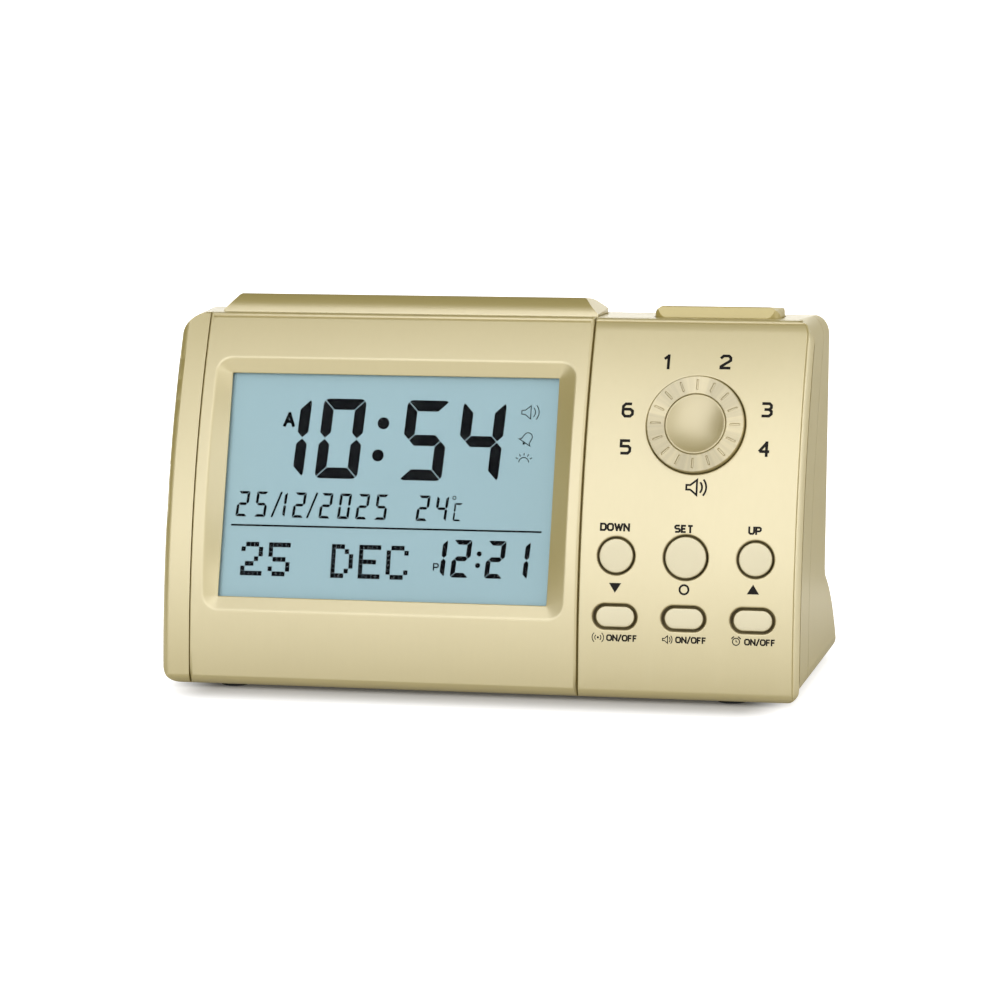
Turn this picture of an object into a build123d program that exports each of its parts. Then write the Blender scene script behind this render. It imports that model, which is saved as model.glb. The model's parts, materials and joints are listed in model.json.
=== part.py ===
from build123d import *
import math
import os

# Desk azan clock: a gold plastic case with a leaning, curved face, a display, a dial,
# six face buttons, a long snooze bar and a light button on top, and a battery door below.
# Frame: +X to the right seen from the front, the face looks along -Y, +Z is up.
# The origin is on the table, under the middle of the case. Millimetres.

# ------------------------------------------------------------------ driving dimensions
CASE_WIDTH = 168.0
HALF_WIDTH = CASE_WIDTH / 2
WALL = 2.0                       # case wall
UNDERSIDE = 1.0                  # the rubber feet lift the case by this much
CASE_TOP = 94.5                  # top front edge of the case
FACE_FOOT = (-30.9, 0.0)         # (y, z) of three points on the curved face
FACE_MIDDLE = (-21.4, 50.0)
FACE_HEAD = (-0.9, 95.0)
TOP_REAR = (24.2, 92.8)          # (y, z) where the top meets the rear wall
WAIST = (13.7, 27.0)             # (y, z) where the rear wall meets the foot
FOOT_BULGE = (24.1, 17.2)        # (y, z) on the round back of the foot
HEEL_Y = 30.64                   # rearmost line of the foot
HEEL_Z = 4.0

FRONT_EDGE_R = 2.4               # rounding under the face
TOP_EDGE_R = 0.5
REAR_TOP_R = 6.0
WAIST_R = 1.5
HEEL_R = 2.4
TOP_CORNER_R = 7.0               # case corners seen from the front
BOTTOM_CORNER_R = 5.5
LEFT_EDGE_R = 2.0
REAR_EDGE_R = 2.2                # rounding of the rear housing's side edges

PLATE = 2.4                      # thickness of the two face plates
PLATE_EDGE = 0.25                # small chamfer along the plates' side edges
PLATE_SEAT = 2.6                 # depth of the front wall that carries them
FRONT_WALL_BACK = 4.6
PARTING = 15.4                   # depth of the joint between front and rear housing
PARTING_GAP = 0.2
TONGUE_LENGTH = 2.0
TONGUE_INSET = 1.1
STRIP_EDGE = -76.5               # groove between the left strip and the display plate
SEAM_X = 27.0                    # joint between the two face plates
SEAM_GAP = 0.45
GROOVE = 0.2                     # joint on the left of the display plate
SIDE_GROOVE = 0.8                # dark groove behind the control plate's right side
SIDE_GROOVE_DEPTH = 1.2
SIDE_BEVEL = 1.0                 # sloped right side of the control plate
PLATE_CORNER_TOP_R = 4.5
PLATE_CORNER_BOTTOM_R = 3.6

WINDOW_X = (-69.15, 18.5)        # clear window of the display
WINDOW_Z = (23.8, 79.4)
FRAME_X = (-73.0, 23.3)          # outer edge of the sloped frame around the window
FRAME_Z = (20.7, 83.7)
DISPLAY_LEAN = 19.5              # the flat display leans back by this many degrees
DISPLAY_DEPTH = 4.2              # window's depth behind the face at FACE_MIDDLE
FRAME_WALL = 1.2
LENS = (93.6, 63.4, 1.0)
GLASS = (92.8, 62.4, 2.2)
GUIDE = (90.0, 57.6, 3.0)
HOLDER = (98.8, 67.2, 7.4)       # outer width, height and depth behind the window plane
HOLDER_POCKET = (94.0, 63.8)
FLANGE_X = (-49.4, 56.2)         # flange and main board, from the window's middle
FLANGE_Y = (-31.0, 35.0)
FLANGE_THICK = 2.4
EAR_SIZE = (8.0, 8.0)            # ears on the flange's left side, clear of the case bosses
BOARD_THICK = 1.6
POST_R = 2.4
PILOT_GAP = 0.05                 # a screw's pilot hole is wider than its thread by this
SCREW_GAP = 0.2                  # a screw's clearance hole in a board or flange
HOLDER_SCREWS = [(-52.6, 14.0), (53.2, 31.0), (-52.6, -20.0), (53.2, -27.0)]

DIAL_X, DIAL_Z = 55.5, 69.4
DIAL_R = 12.65
DIAL_CREST_R = 8.0
DIAL_EDGE_H = 0.9
DIAL_CREST_H = 2.3
DIAL_DISH_H = 1.05
DIAL_GAP = 0.4
DIAL_TICKS = 16
TICK_REACH = (9.3, 11.6)         # inner and outer end of a tick
TICK_WIDTH = 0.5
TICK_DEPTH = 0.3
SWITCH_BODY = 16.0               # rotary switch: square body, its depth, and the bush
SWITCH_BODY_DEPTH = 8.0
BUSH_R = 3.5
DIAL_BOARD = (27.0, 25.0)
SHAFT_R = 2.5
RUNNING_GAP = 0.05
RECESS_FLOOR = 4.2               # depth of the recess that the dial turns in
RECESS_BACK = 6.2

KEY_Z = 29.6                     # height of the line half way between the two key rows
ROUND_KEYS = {"down_button": (36.6, 37.15, 4.4), "set_button": (54.6, 37.15, 5.35),
              "up_button": (72.55, 37.15, 4.4)}
OVAL_KEYS = {"left_oval_button": 36.65, "middle_oval_button": 54.45, "right_oval_button": 72.2}
OVAL_Z = 22.0
OVAL_SIZE = (10.0, 5.3)
KEY_GAP = 0.3
KEY_TRAVEL = 0.8
ROUND_KEY_PROUD = -0.06          # tops of the keys, measured from the key plane
OVAL_KEY_PROUD = -0.71
KEY_TOP_R = 0.3
ROUND_CHAMFER = 0.45
OVAL_CHAMFER = 0.65
KEY_FLANGE = 1.0
KEY_FLANGE_TOP = -3.0
KEY_STEM_END = -6.4
PAD_TOP = -8.3
DOME_TOP = -7.5
KEY_BOARD_TOP = -9.5
KEY_BOARD = (46.0, 35.0)         # width and height
KEY_BOARD_SHIFT = 2.0            # its middle lies this much above the key plane's middle
KEY_POSTS = [(-9.0, 0.0), (9.0, 0.0), (0.0, 17.2), (0.0, -14.0)]
KEY_OPENING = (30.2, 80.0, 11.8, 46.0)       # x and z limits of the openings in the front wall
DIAL_OPENING = (39.6, 71.4, 45.0, 85.6)

BAR_X = (-74.2, 26.7)            # snooze bar, foot of its sloped ends
BAR_TOP_X = (-70.4, 22.9)
BAR_Y = (2.9, 15.5)
BAR_TOP = 98.5
BAR_CROWN_Y = 5.95               # where the bar's curved front rolls over into its top
BAR_TRAVEL = 1.3
LIGHT_X = (41.3, 74.1)           # light button
LIGHT_Y = (2.9, 14.5)
LIGHT_TOP = 97.1
LIGHT_CORNER_R = 3.2             # its corners in plan, and how far its rounded ends reach in
TOP_GAP = 0.35                   # gap round the bar and the light button
PLUG_FOOT = 90.0
TOP_BOARD_Z = 82.0
TOP_BOARD_X = (-79.8, 80.0)
TOP_BOARD_Y = (6.2, 15.6)
TOP_POSTS_X = [-78.1, 34.5, 78.6]
TOP_LINE_Y = 9.4                 # screws, switches and springs of the top board stand on this line
BAR_HOLLOW_Y = (6.2, 13.1)
BAR_HOLLOW_ROOF = 95.6
LIGHT_HOLLOW_ROOF = PLUG_FOOT + 4.0
TOP_FLANGE = 1.1                 # height of the stop flanges under the case top
BAR_FLANGE = 1.2                 # how far they stand out of the bar and of the light button
LIGHT_FLANGE = 0.6
SWITCH_SIZE = 6.0
SWITCH_HEIGHT = 3.5
PLUNGER_R = 1.7
PLUNGER_HEIGHT = 0.8
SWITCH_TOP = TOP_BOARD_Z + BOARD_THICK + SWITCH_HEIGHT + PLUNGER_HEIGHT
STEM_FOOT = SWITCH_TOP + BAR_TRAVEL + 0.1
STEM_R = 2.0
SNOOZE_SWITCHES_X = [-40.0, -6.0]
SNOOZE_SPRINGS_X = [-60.0, 14.0]
LIGHT_SPRINGS_X = [50.0, 67.4]
LIGHT_SWITCH_X = 58.7

CELL_R = 5.25                    # three AAA cells lie side by side across the foot
CELL_LENGTH = 43.7
CELL_NUB = (1.9, 0.8)
CELLS_Y = [-4.4, 6.4, 17.2]
CELLS_Z = 7.9
BAY_X = 26.0
BAY_Y = (-10.3, 22.9)
BAY_ROOF = 13.6
BAY_WALL = 1.2
DOOR_X = 24.9
DOOR_Y = (-8.6, 20.6)            # hinge line and rear edge
DOOR_THICK = 1.3
DOOR_PIVOT_Z = 2.4
DOOR_BARREL_R = 1.4
DOOR_PIN_R = 0.75
DOOR_GAP = 0.3

SPEAKER_X, SPEAKER_Z = -35.0, 60.0
SPEAKER_R = 25.0
SPEAKER_POSTS = (SPEAKER_R + 3.4, 3, 30)     # reach, number and first angle of the screw posts
CLIP_THICK = 0.8
CLIP_BACK = -5.8                 # rear face of the clips, from the outer side of the rear wall
GRILLE_R = 20.5
GRILLE_PITCH = 3.7
GRILLE_SLOT = 1.7

CASE_SCREWS = [(-78.3, 75.5), (78.3, 75.5), (-78.3, 8.5), (78.3, 8.5)]
FRONT_BOSS_R = 3.4
REAR_BOSS_R = 4.6
SCREW_SEAT = 4.0                 # a case screw's head sits this far behind the parting line
SCREW_R = 1.2
SCREW_HEAD_R = 2.8
SCREW_HEAD = 2.0
SCREW_LENGTH = 12.0
SMALL_SCREW_R = 1.0
SMALL_SCREW_LENGTH = 6.0
SPEAKER_SCREW_LENGTH = 3.4
SMALL_HEAD_R = 2.0
SMALL_HEAD = 1.2
FEET = [(-66.0, -23.0), (66.0, -23.0), (-66.0, 21.0), (66.0, 21.0)]
FOOT_R = 4.2
FOOT_HEIGHT = 1.8

FAR = 60.0                       # reach of cutting tools, beyond the case on every side


# ------------------------------------------------------------------ the curved face
def circle_through(a, b, c):
    """Centre and radius of the circle through three (y, z) points."""
    span = 2 * (a[0] * (b[1] - c[1]) + b[0] * (c[1] - a[1]) + c[0] * (a[1] - b[1]))
    squares = [p[0] ** 2 + p[1] ** 2 for p in (a, b, c)]
    y = (squares[0] * (b[1] - c[1]) + squares[1] * (c[1] - a[1]) + squares[2] * (a[1] - b[1])) / span
    z = (squares[0] * (c[0] - b[0]) + squares[1] * (a[0] - c[0]) + squares[2] * (b[0] - a[0])) / span
    return y, z, math.hypot(a[0] - y, a[1] - z)


AXIS_Y, AXIS_Z, FACE_R = circle_through(FACE_FOOT, FACE_MIDDLE, FACE_HEAD)
FACE_AXIS = Axis((0, AXIS_Y, AXIS_Z), (1, 0, 0))
DRUM_SECTION = Plane(origin=(0, AXIS_Y, AXIS_Z), x_dir=(1, 0, 0), z_dir=(0, 0, -1))


def face_y(z, depth=0.0):
    """y of the surface that lies depth behind the face, at height z."""
    return AXIS_Y - math.sqrt((FACE_R - depth) ** 2 - (z - AXIS_Z) ** 2)


def face_plane(x, z, depth=0.0):
    """Plane touching the face at (x, z), moved in by depth, looking out of the case."""
    lean = math.asin((z - AXIS_Z) / FACE_R)
    reach = FACE_R - depth
    return Plane(origin=(x, AXIS_Y - reach * math.cos(lean), AXIS_Z + reach * math.sin(lean)),
                 x_dir=(1, 0, 0), z_dir=(0, -math.cos(lean), math.sin(lean)))


def section_plane(plane):
    """Plane that holds plane's x axis and its normal, for profiles turned about the normal."""
    return Plane(origin=plane.origin, x_dir=plane.x_dir, z_dir=-plane.y_dir)


DISPLAY_TILT = math.radians(DISPLAY_LEAN)
WINDOW_MIDDLE_Z = (WINDOW_Z[0] + WINDOW_Z[1]) / 2
DISPLAY = Plane(origin=((WINDOW_X[0] + WINDOW_X[1]) / 2,
                        FACE_MIDDLE[0] + DISPLAY_DEPTH
                        + math.tan(DISPLAY_TILT) * (WINDOW_MIDDLE_Z - FACE_MIDDLE[1]),
                        WINDOW_MIDDLE_Z),
                x_dir=(1, 0, 0), z_dir=(0, -math.cos(DISPLAY_TILT), math.sin(DISPLAY_TILT)))
WINDOW_HALF_W = (WINDOW_X[1] - WINDOW_X[0]) / 2
WINDOW_HALF_H = (WINDOW_Z[1] - WINDOW_Z[0]) / 2 / math.cos(DISPLAY_TILT)
DIAL = face_plane(DIAL_X, DIAL_Z)
KEYS = face_plane(54.6, KEY_Z)
REAR_TILT = math.atan2(TOP_REAR[0] - WAIST[0], TOP_REAR[1] - WAIST[1])
SPEAKER = Plane(origin=(SPEAKER_X, WAIST[0] + math.tan(REAR_TILT) * (SPEAKER_Z - WAIST[1]), SPEAKER_Z),
                x_dir=(-1, 0, 0), z_dir=(0, math.cos(REAR_TILT), -math.sin(REAR_TILT)))


def key_spot(x, z):
    """Place of a face point in the key plane's own coordinates."""
    spot = KEYS.to_local_coords(Vector(x, face_y(z), z))
    return spot.X, spot.Y


# ------------------------------------------------------------------ case solids
def nearest_vertex(shape, y, z):
    return min(shape.vertices(), key=lambda v: abs(v.X - y) + abs(v.Y - z))


def case_block(inset=0.0, edge_r=0.0):
    """Closed block of the whole case, every side moved in by inset, side edges rounded by edge_r."""
    with BuildPart() as block:
        with BuildSketch(Plane.YZ.offset(inset - HALF_WIDTH)) as side:
            with BuildLine():
                foot = (face_y(UNDERSIDE), UNDERSIDE)
                head = (face_y(CASE_TOP), CASE_TOP)
                ThreePointArc(foot, (face_y(48.0), 48.0), head)
                Polyline(head, TOP_REAR, WAIST)
                ThreePointArc(WAIST, FOOT_BULGE, (HEEL_Y, HEEL_Z))
                Polyline((HEEL_Y, HEEL_Z), (HEEL_Y, UNDERSIDE), foot)
            make_face()
            for spot, radius in ((foot, FRONT_EDGE_R), (head, TOP_EDGE_R), (TOP_REAR, REAR_TOP_R),
                                 (WAIST, WAIST_R), ((HEEL_Y, UNDERSIDE), HEEL_R)):
                fillet(nearest_vertex(side, *spot), radius)
            if inset:
                offset(amount=-inset, kind=Kind.INTERSECTION)
        extrude(amount=CASE_WIDTH - 2 * inset)
        if edge_r:
            ends = block.faces().sort_by(Axis.X)
            fillet(ends[0].edges() + ends[-1].edges(), edge_r)
        with BuildSketch(Plane.XZ.offset(-FAR)) as front:
            height = CASE_TOP - UNDERSIDE - 2 * inset
            with Locations((0, (CASE_TOP + UNDERSIDE) / 2)):
                Rectangle(CASE_WIDTH - 2 * inset, height)
            fillet(front.vertices().group_by(Axis.Y)[-1], TOP_CORNER_R - inset)
            fillet(front.vertices().group_by(Axis.Y)[0], BOTTOM_CORNER_R - inset)
        extrude(amount=2 * FAR, mode=Mode.INTERSECT)
    return block.part


def band(x0, x1, near, far):
    """Layer that follows the face from depth near to depth far, between two x."""
    with BuildPart() as layer:
        with BuildSketch(Plane.YZ.offset(x0)):
            with Locations((AXIS_Y, AXIS_Z)):
                Circle(FACE_R - near)
                Circle(FACE_R - far, mode=Mode.SUBTRACT)
        extrude(amount=x1 - x0)
    return layer.part


def front_box(x0, x1, z0, z1, y0=-FAR, y1=FAR):
    """Box between two x, two z and two y."""
    with BuildPart() as box:
        with BuildSketch(Plane.XZ.offset(-y1)):
            with Locations(((x0 + x1) / 2, (z0 + z1) / 2)):
                Rectangle(x1 - x0, z1 - z0)
        extrude(amount=y1 - y0)
    return box.part


BLOCK = case_block()
REAR_BLOCK = case_block(edge_r=REAR_EDGE_R)
CORE = case_block(WALL)
TONGUE_BLOCK = case_block(TONGUE_INSET)
parts = []


def keep(solid, name):
    """Label a finished piece and put it on the list that is written at the end."""
    solid.label = name
    parts.append(solid)
    return solid


def front_housing():
    """Ring of the front shell: left strip, sides, front wall, posts and screw bosses."""
    with BuildPart() as shell:
        with BuildSketch(DRUM_SECTION) as section:
            with BuildLine():
                Polyline((-HALF_WIDTH, FACE_R - PARTING + PARTING_GAP / 2), (-HALF_WIDTH, FACE_R),
                         (HALF_WIDTH, FACE_R), (HALF_WIDTH, FACE_R - PARTING + PARTING_GAP / 2),
                         close=True)
            make_face()
            fillet(nearest_vertex(section, -HALF_WIDTH, FACE_R), LEFT_EDGE_R)
        revolve(axis=FACE_AXIS)
        add(BLOCK, mode=Mode.INTERSECT)
        add(front_hollow(), mode=Mode.SUBTRACT)
        add(band(STRIP_EDGE, FAR * 2, -1.0, PLATE_SEAT - 0.1), mode=Mode.SUBTRACT)
        add(band(HALF_WIDTH - SIDE_GROOVE_DEPTH, FAR * 2, -1.0, PLATE + SIDE_GROOVE), mode=Mode.SUBTRACT)
        add(tongue_rebate(), mode=Mode.SUBTRACT)
        for x, z in CASE_SCREWS:
            add(front_boss(x, z))
        for x, y in HOLDER_SCREWS:
            add(holder_post(x, y))
        for x in TOP_POSTS_X:
            add(top_post(x))
        with BuildSketch(DISPLAY.offset(FAR)):
            Rectangle(HOLDER[0] + 0.8, HOLDER[1] + 0.8)
        extrude(amount=-FAR - HOLDER[2], mode=Mode.SUBTRACT)
        add(front_box(*KEY_OPENING, y1=0.0), mode=Mode.SUBTRACT)
        add(front_box(*DIAL_OPENING, y1=0.0), mode=Mode.SUBTRACT)
        add(top_slot(BAR_X, BAR_Y), mode=Mode.SUBTRACT)
        add(light_slot(), mode=Mode.SUBTRACT)
        for x, z in CASE_SCREWS:
            with BuildSketch(Plane.XZ.offset(-face_y(z, PARTING) - SCREW_SEAT)):
                with Locations((x, z)):
                    Circle(SCREW_R + PILOT_GAP)
            extrude(amount=SCREW_LENGTH, mode=Mode.SUBTRACT)
        with BuildSketch(DISPLAY.offset(FLANGE_THICK - HOLDER[2])):
            with Locations(*HOLDER_SCREWS):
                Circle(SMALL_SCREW_R + PILOT_GAP)
        extrude(amount=SMALL_SCREW_LENGTH, mode=Mode.SUBTRACT)
        with BuildSketch(Plane.XY.offset(TOP_BOARD_Z)):
            with Locations(*[(x, TOP_LINE_Y) for x in TOP_POSTS_X]):
                Circle(SMALL_SCREW_R + PILOT_GAP)
        extrude(amount=SMALL_SCREW_LENGTH + 1.0, mode=Mode.SUBTRACT)
        with BuildSketch(Plane.XY):
            with Locations(*FEET[:2]):
                Circle(FOOT_R + 0.1)
        extrude(amount=FOOT_HEIGHT, mode=Mode.SUBTRACT)
    return shell.part


def front_hollow():
    """Space inside the front housing, behind its front wall."""
    with BuildPart() as hollow:
        add(CORE)
        add(band(-FAR * 2, FAR * 2, FRONT_WALL_BACK, FAR), mode=Mode.INTERSECT)
    return hollow.part


def tongue_rebate():
    """Step cut into the front housing's rear edge, where the rear housing's tongue goes."""
    with BuildPart() as step:
        add(TONGUE_BLOCK)
        add(band(-FAR * 2, FAR * 2, PARTING - TONGUE_LENGTH - 0.3, FAR), mode=Mode.INTERSECT)
    return step.part


def front_boss(x, z):
    """Boss that a case screw bites into; it runs from the front wall to the parting line."""
    with BuildPart() as boss:
        with BuildSketch(Plane.XZ.offset(-FAR)):
            with Locations((x, z)):
                Circle(FRONT_BOSS_R)
        extrude(amount=2 * FAR)
        add(band(-FAR * 2, FAR * 2, PLATE_SEAT + 0.5, PARTING - PARTING_GAP), mode=Mode.INTERSECT)
    return boss.part


def holder_post(x, y):
    """Post on the back of the front wall for one screw of the display holder."""
    with BuildPart() as post:
        with BuildSketch(DISPLAY.offset(FLANGE_THICK - HOLDER[2])):
            with Locations((x, y)):
                Circle(POST_R)
        extrude(amount=20.0)
        add(band(-FAR * 2, FAR * 2, FRONT_WALL_BACK - 0.6, FAR), mode=Mode.INTERSECT)
    return post.part


def top_post(x):
    """Post that hangs from the case top and carries the top board."""
    with BuildPart() as post:
        with BuildSketch(Plane.XY.offset(TOP_BOARD_Z + BOARD_THICK)):
            with Locations((x, TOP_LINE_Y)):
                Circle(POST_R)
        extrude(amount=9.0)
        add(band(-FAR * 2, FAR * 2, PLATE_SEAT, PARTING - TONGUE_LENGTH - 0.3), mode=Mode.INTERSECT)
        add(BLOCK, mode=Mode.INTERSECT)
    return post.part


def top_slot(span_x, span_y):
    """Rectangular slot through the case top."""
    return front_box(span_x[0] - TOP_GAP, span_x[1] + TOP_GAP, PLUG_FOOT - 4.0, CASE_TOP + 5.0,
                     span_y[0] - TOP_GAP, span_y[1] + TOP_GAP)


def light_outline(grow):
    """Plan of the light button: a bar with round corners, made larger by grow."""
    with BuildSketch() as plan:
        with Locations(((LIGHT_X[0] + LIGHT_X[1]) / 2, (LIGHT_Y[0] + LIGHT_Y[1]) / 2)):
            RectangleRounded(LIGHT_X[1] - LIGHT_X[0] + 2 * grow, LIGHT_Y[1] - LIGHT_Y[0] + 2 * grow,
                             LIGHT_CORNER_R + grow)
    return plan.sketch


def light_slot():
    """Round-cornered slot through the case top."""
    with BuildPart() as slot:
        with BuildSketch(Plane.XY.offset(PLUG_FOOT - 4.0)):
            add(light_outline(TOP_GAP))
        extrude(amount=CASE_TOP + 9.0 - PLUG_FOOT)
    return slot.part


def rear_housing():
    """Rear shell with the foot, tongue, screw wells, battery bay, grille and speaker rim."""
    with BuildPart() as shell:
        add(REAR_BLOCK)
        add(band(-FAR * 2, FAR * 2, -FAR, PARTING + PARTING_GAP / 2), mode=Mode.SUBTRACT)
        add(CORE, mode=Mode.SUBTRACT)
        add(tongue())
        for x, z in CASE_SCREWS:
            add(rear_boss(x, z))
        add(bay_block())
        add(speaker_rim())
        with BuildSketch(Plane.YZ.offset(-BAY_X)):
            with Locations(((BAY_Y[0] + BAY_Y[1]) / 2, (UNDERSIDE + WALL + BAY_ROOF) / 2)):
                Rectangle(BAY_Y[1] - BAY_Y[0], BAY_ROOF - UNDERSIDE - WALL)
        extrude(amount=2 * BAY_X, mode=Mode.SUBTRACT)
        add(front_box(-DOOR_X - DOOR_GAP, DOOR_X + DOOR_GAP, 0.0, 5.0,
                      DOOR_Y[0] - DOOR_BARREL_R - DOOR_GAP, DOOR_Y[1] + DOOR_GAP), mode=Mode.SUBTRACT)
        with BuildSketch(Plane.YZ.offset(-BAY_X - BAY_WALL)):
            with Locations((DOOR_Y[0], DOOR_PIVOT_Z)):
                Circle(DOOR_PIN_R + RUNNING_GAP)
        extrude(amount=2 * (BAY_X + BAY_WALL), mode=Mode.SUBTRACT)
        for x, z in CASE_SCREWS:
            seat = face_y(z, PARTING) + SCREW_SEAT
            with BuildSketch(Plane.XZ.offset(-FAR)):
                with Locations((x, z)):
                    Circle(SCREW_HEAD_R + 0.5)
            extrude(amount=FAR - seat, mode=Mode.SUBTRACT)
            with BuildSketch(Plane.XZ.offset(-FAR)):
                with Locations((x, z)):
                    Circle(SCREW_R + 0.4)
            extrude(amount=FAR * 2, mode=Mode.SUBTRACT)
        add(top_slot(BAR_X, BAR_Y), mode=Mode.SUBTRACT)
        add(light_slot(), mode=Mode.SUBTRACT)
        rows = int(GRILLE_R // GRILLE_PITCH)
        with BuildSketch(SPEAKER.offset(1.0)):
            for row in range(-rows, rows + 1):
                height = row * GRILLE_PITCH
                with Locations((0, height)):
                    SlotOverall(2 * math.sqrt(GRILLE_R ** 2 - height ** 2), GRILLE_SLOT)
        extrude(amount=-WALL - 2.0, mode=Mode.SUBTRACT)
        with BuildSketch(Plane.XZ.offset(-FAR)):
            with Locations((35.0, 60.0)):
                Circle(1.0)
        extrude(amount=FAR, mode=Mode.SUBTRACT)
        with BuildSketch(Plane.XY):
            with Locations(*FEET[2:]):
                Circle(FOOT_R + 0.1)
        extrude(amount=FOOT_HEIGHT, mode=Mode.SUBTRACT)
    return shell.part


def tongue():
    """Thin rim that slides into the front housing and hides the parting gap."""
    with BuildPart() as rim:
        add(case_block(TONGUE_INSET + 0.1))
        add(CORE, mode=Mode.SUBTRACT)
        add(band(-FAR * 2, FAR * 2, PARTING - TONGUE_LENGTH, PARTING + 0.6), mode=Mode.INTERSECT)
    return rim.part


def rear_boss(x, z):
    """Tube of the rear housing around a case screw."""
    with BuildPart() as boss:
        with BuildSketch(Plane.XZ.offset(-FAR)):
            with Locations((x, z)):
                Circle(REAR_BOSS_R)
        extrude(amount=2 * FAR)
        add(REAR_BLOCK, mode=Mode.INTERSECT)
        add(band(-FAR * 2, FAR * 2, -FAR, PARTING + PARTING_GAP / 2), mode=Mode.SUBTRACT)
    return boss.part


def bay_block():
    """Solid block that the battery bay is hollowed from, trimmed to the case."""
    with BuildPart() as bay:
        add(front_box(-BAY_X - BAY_WALL, BAY_X + BAY_WALL, 0.0, BAY_ROOF + BAY_WALL,
                      BAY_Y[0] - BAY_WALL, BAY_Y[1] + BAY_WALL))
        add(REAR_BLOCK, mode=Mode.INTERSECT)
    return bay.part


def speaker_rim():
    """Ring and three screw posts inside the rear wall that hold the speaker."""
    with BuildPart() as rim:
        with BuildSketch(SPEAKER.offset(CLIP_BACK + CLIP_THICK)):
            Circle(SPEAKER_R + 1.4)
            with PolarLocations(*SPEAKER_POSTS):
                Circle(POST_R)
            Circle(SPEAKER_R + 0.2, mode=Mode.SUBTRACT)
            with PolarLocations(*SPEAKER_POSTS):
                Circle(SMALL_SCREW_R + PILOT_GAP, mode=Mode.SUBTRACT)
        extrude(amount=3.4)
    return rim.part


def control_outline(x0, x1):
    """Front outline of the control panel, with its two round corners on the right."""
    with BuildPart() as prism:
        with BuildSketch(Plane.XZ.offset(-FAR)) as outline:
            with Locations(((x0 + x1) / 2, (UNDERSIDE + CASE_TOP) / 2)):
                Rectangle(x1 - x0, CASE_TOP - UNDERSIDE)
            fillet(nearest_vertex(outline, x1, CASE_TOP), PLATE_CORNER_TOP_R)
            fillet(nearest_vertex(outline, x1, UNDERSIDE), PLATE_CORNER_BOTTOM_R)
        extrude(amount=2 * FAR)
    return prism.part


def display_frame_cut():
    """Funnel from the face down to the window: straight outer edges, mitred corners."""
    lean = math.cos(DISPLAY_TILT)
    bottom_y = face_y(FRAME_Z[0])
    top_y = face_y(FRAME_Z[1])
    window_low = DISPLAY.from_local_coords(Vector(0, -WINDOW_HALF_H, 0))
    window_high = DISPLAY.from_local_coords(Vector(0, WINDOW_HALF_H, 0))
    with BuildPart() as funnel:
        stations = 5
        for step in range(stations + 1):
            z = FRAME_Z[0] - 2.0 + (FRAME_Z[1] - FRAME_Z[0] + 4.0) * step / stations
            back = DISPLAY.origin.Y + math.tan(DISPLAY_TILT) * (z - DISPLAY.origin.Z) + 0.01
            front = min(face_y(z), back - 0.3)
            with BuildSketch(Plane.XY.offset(z)):
                with BuildLine():
                    Polyline((WINDOW_X[0], back), (WINDOW_X[1], back), (FRAME_X[1], front),
                             (FRAME_X[1], front - 12.0), (FRAME_X[0], front - 12.0), (FRAME_X[0], front),
                             close=True)
                make_face()
        loft()
        with BuildSketch(Plane.YZ.offset(-FAR * 2)):
            with BuildLine():
                Polyline((window_low.Y + 0.05 * lean, window_low.Z), (bottom_y, FRAME_Z[0]),
                         (bottom_y - 12.0, FRAME_Z[0]), (top_y - 12.0, FRAME_Z[1] + 0.01),
                         (top_y, FRAME_Z[1]), (window_high.Y + 0.05 * lean, window_high.Z), close=True)
            make_face()
        extrude(amount=FAR * 4, mode=Mode.INTERSECT)
    return funnel.part


def display_panel():
    """Left face plate with the sloped frame that leads down to the window."""
    edge = PLATE_EDGE
    x0 = STRIP_EDGE + GROOVE
    x1 = SEAM_X - SEAM_GAP / 2
    with BuildPart() as panel:
        with BuildSketch(DRUM_SECTION):
            with BuildLine():
                Polyline((x0, FACE_R - PLATE), (x0, FACE_R - edge), (x0 + edge, FACE_R), (x1 - edge, FACE_R),
                         (x1, FACE_R - edge), (x1, FACE_R - PLATE), close=True)
            make_face()
        revolve(axis=FACE_AXIS)
        with BuildSketch(DISPLAY):
            Rectangle(FRAME_X[1] - FRAME_X[0] + 2 * FRAME_WALL, HOLDER[1])
        extrude(amount=8.0)
        with BuildSketch(Plane.YZ.offset(-FAR * 2)):
            with Locations((AXIS_Y, AXIS_Z)):
                Circle(FACE_R)
        extrude(amount=FAR * 4, mode=Mode.INTERSECT)
        add(BLOCK, mode=Mode.INTERSECT)
        add(display_frame_cut(), mode=Mode.SUBTRACT)
        with BuildSketch(DISPLAY):
            Rectangle(HOLDER[0] + 0.8, HOLDER[1] + 0.8)
        extrude(amount=-HOLDER[2], mode=Mode.SUBTRACT)
    return panel.part


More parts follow.
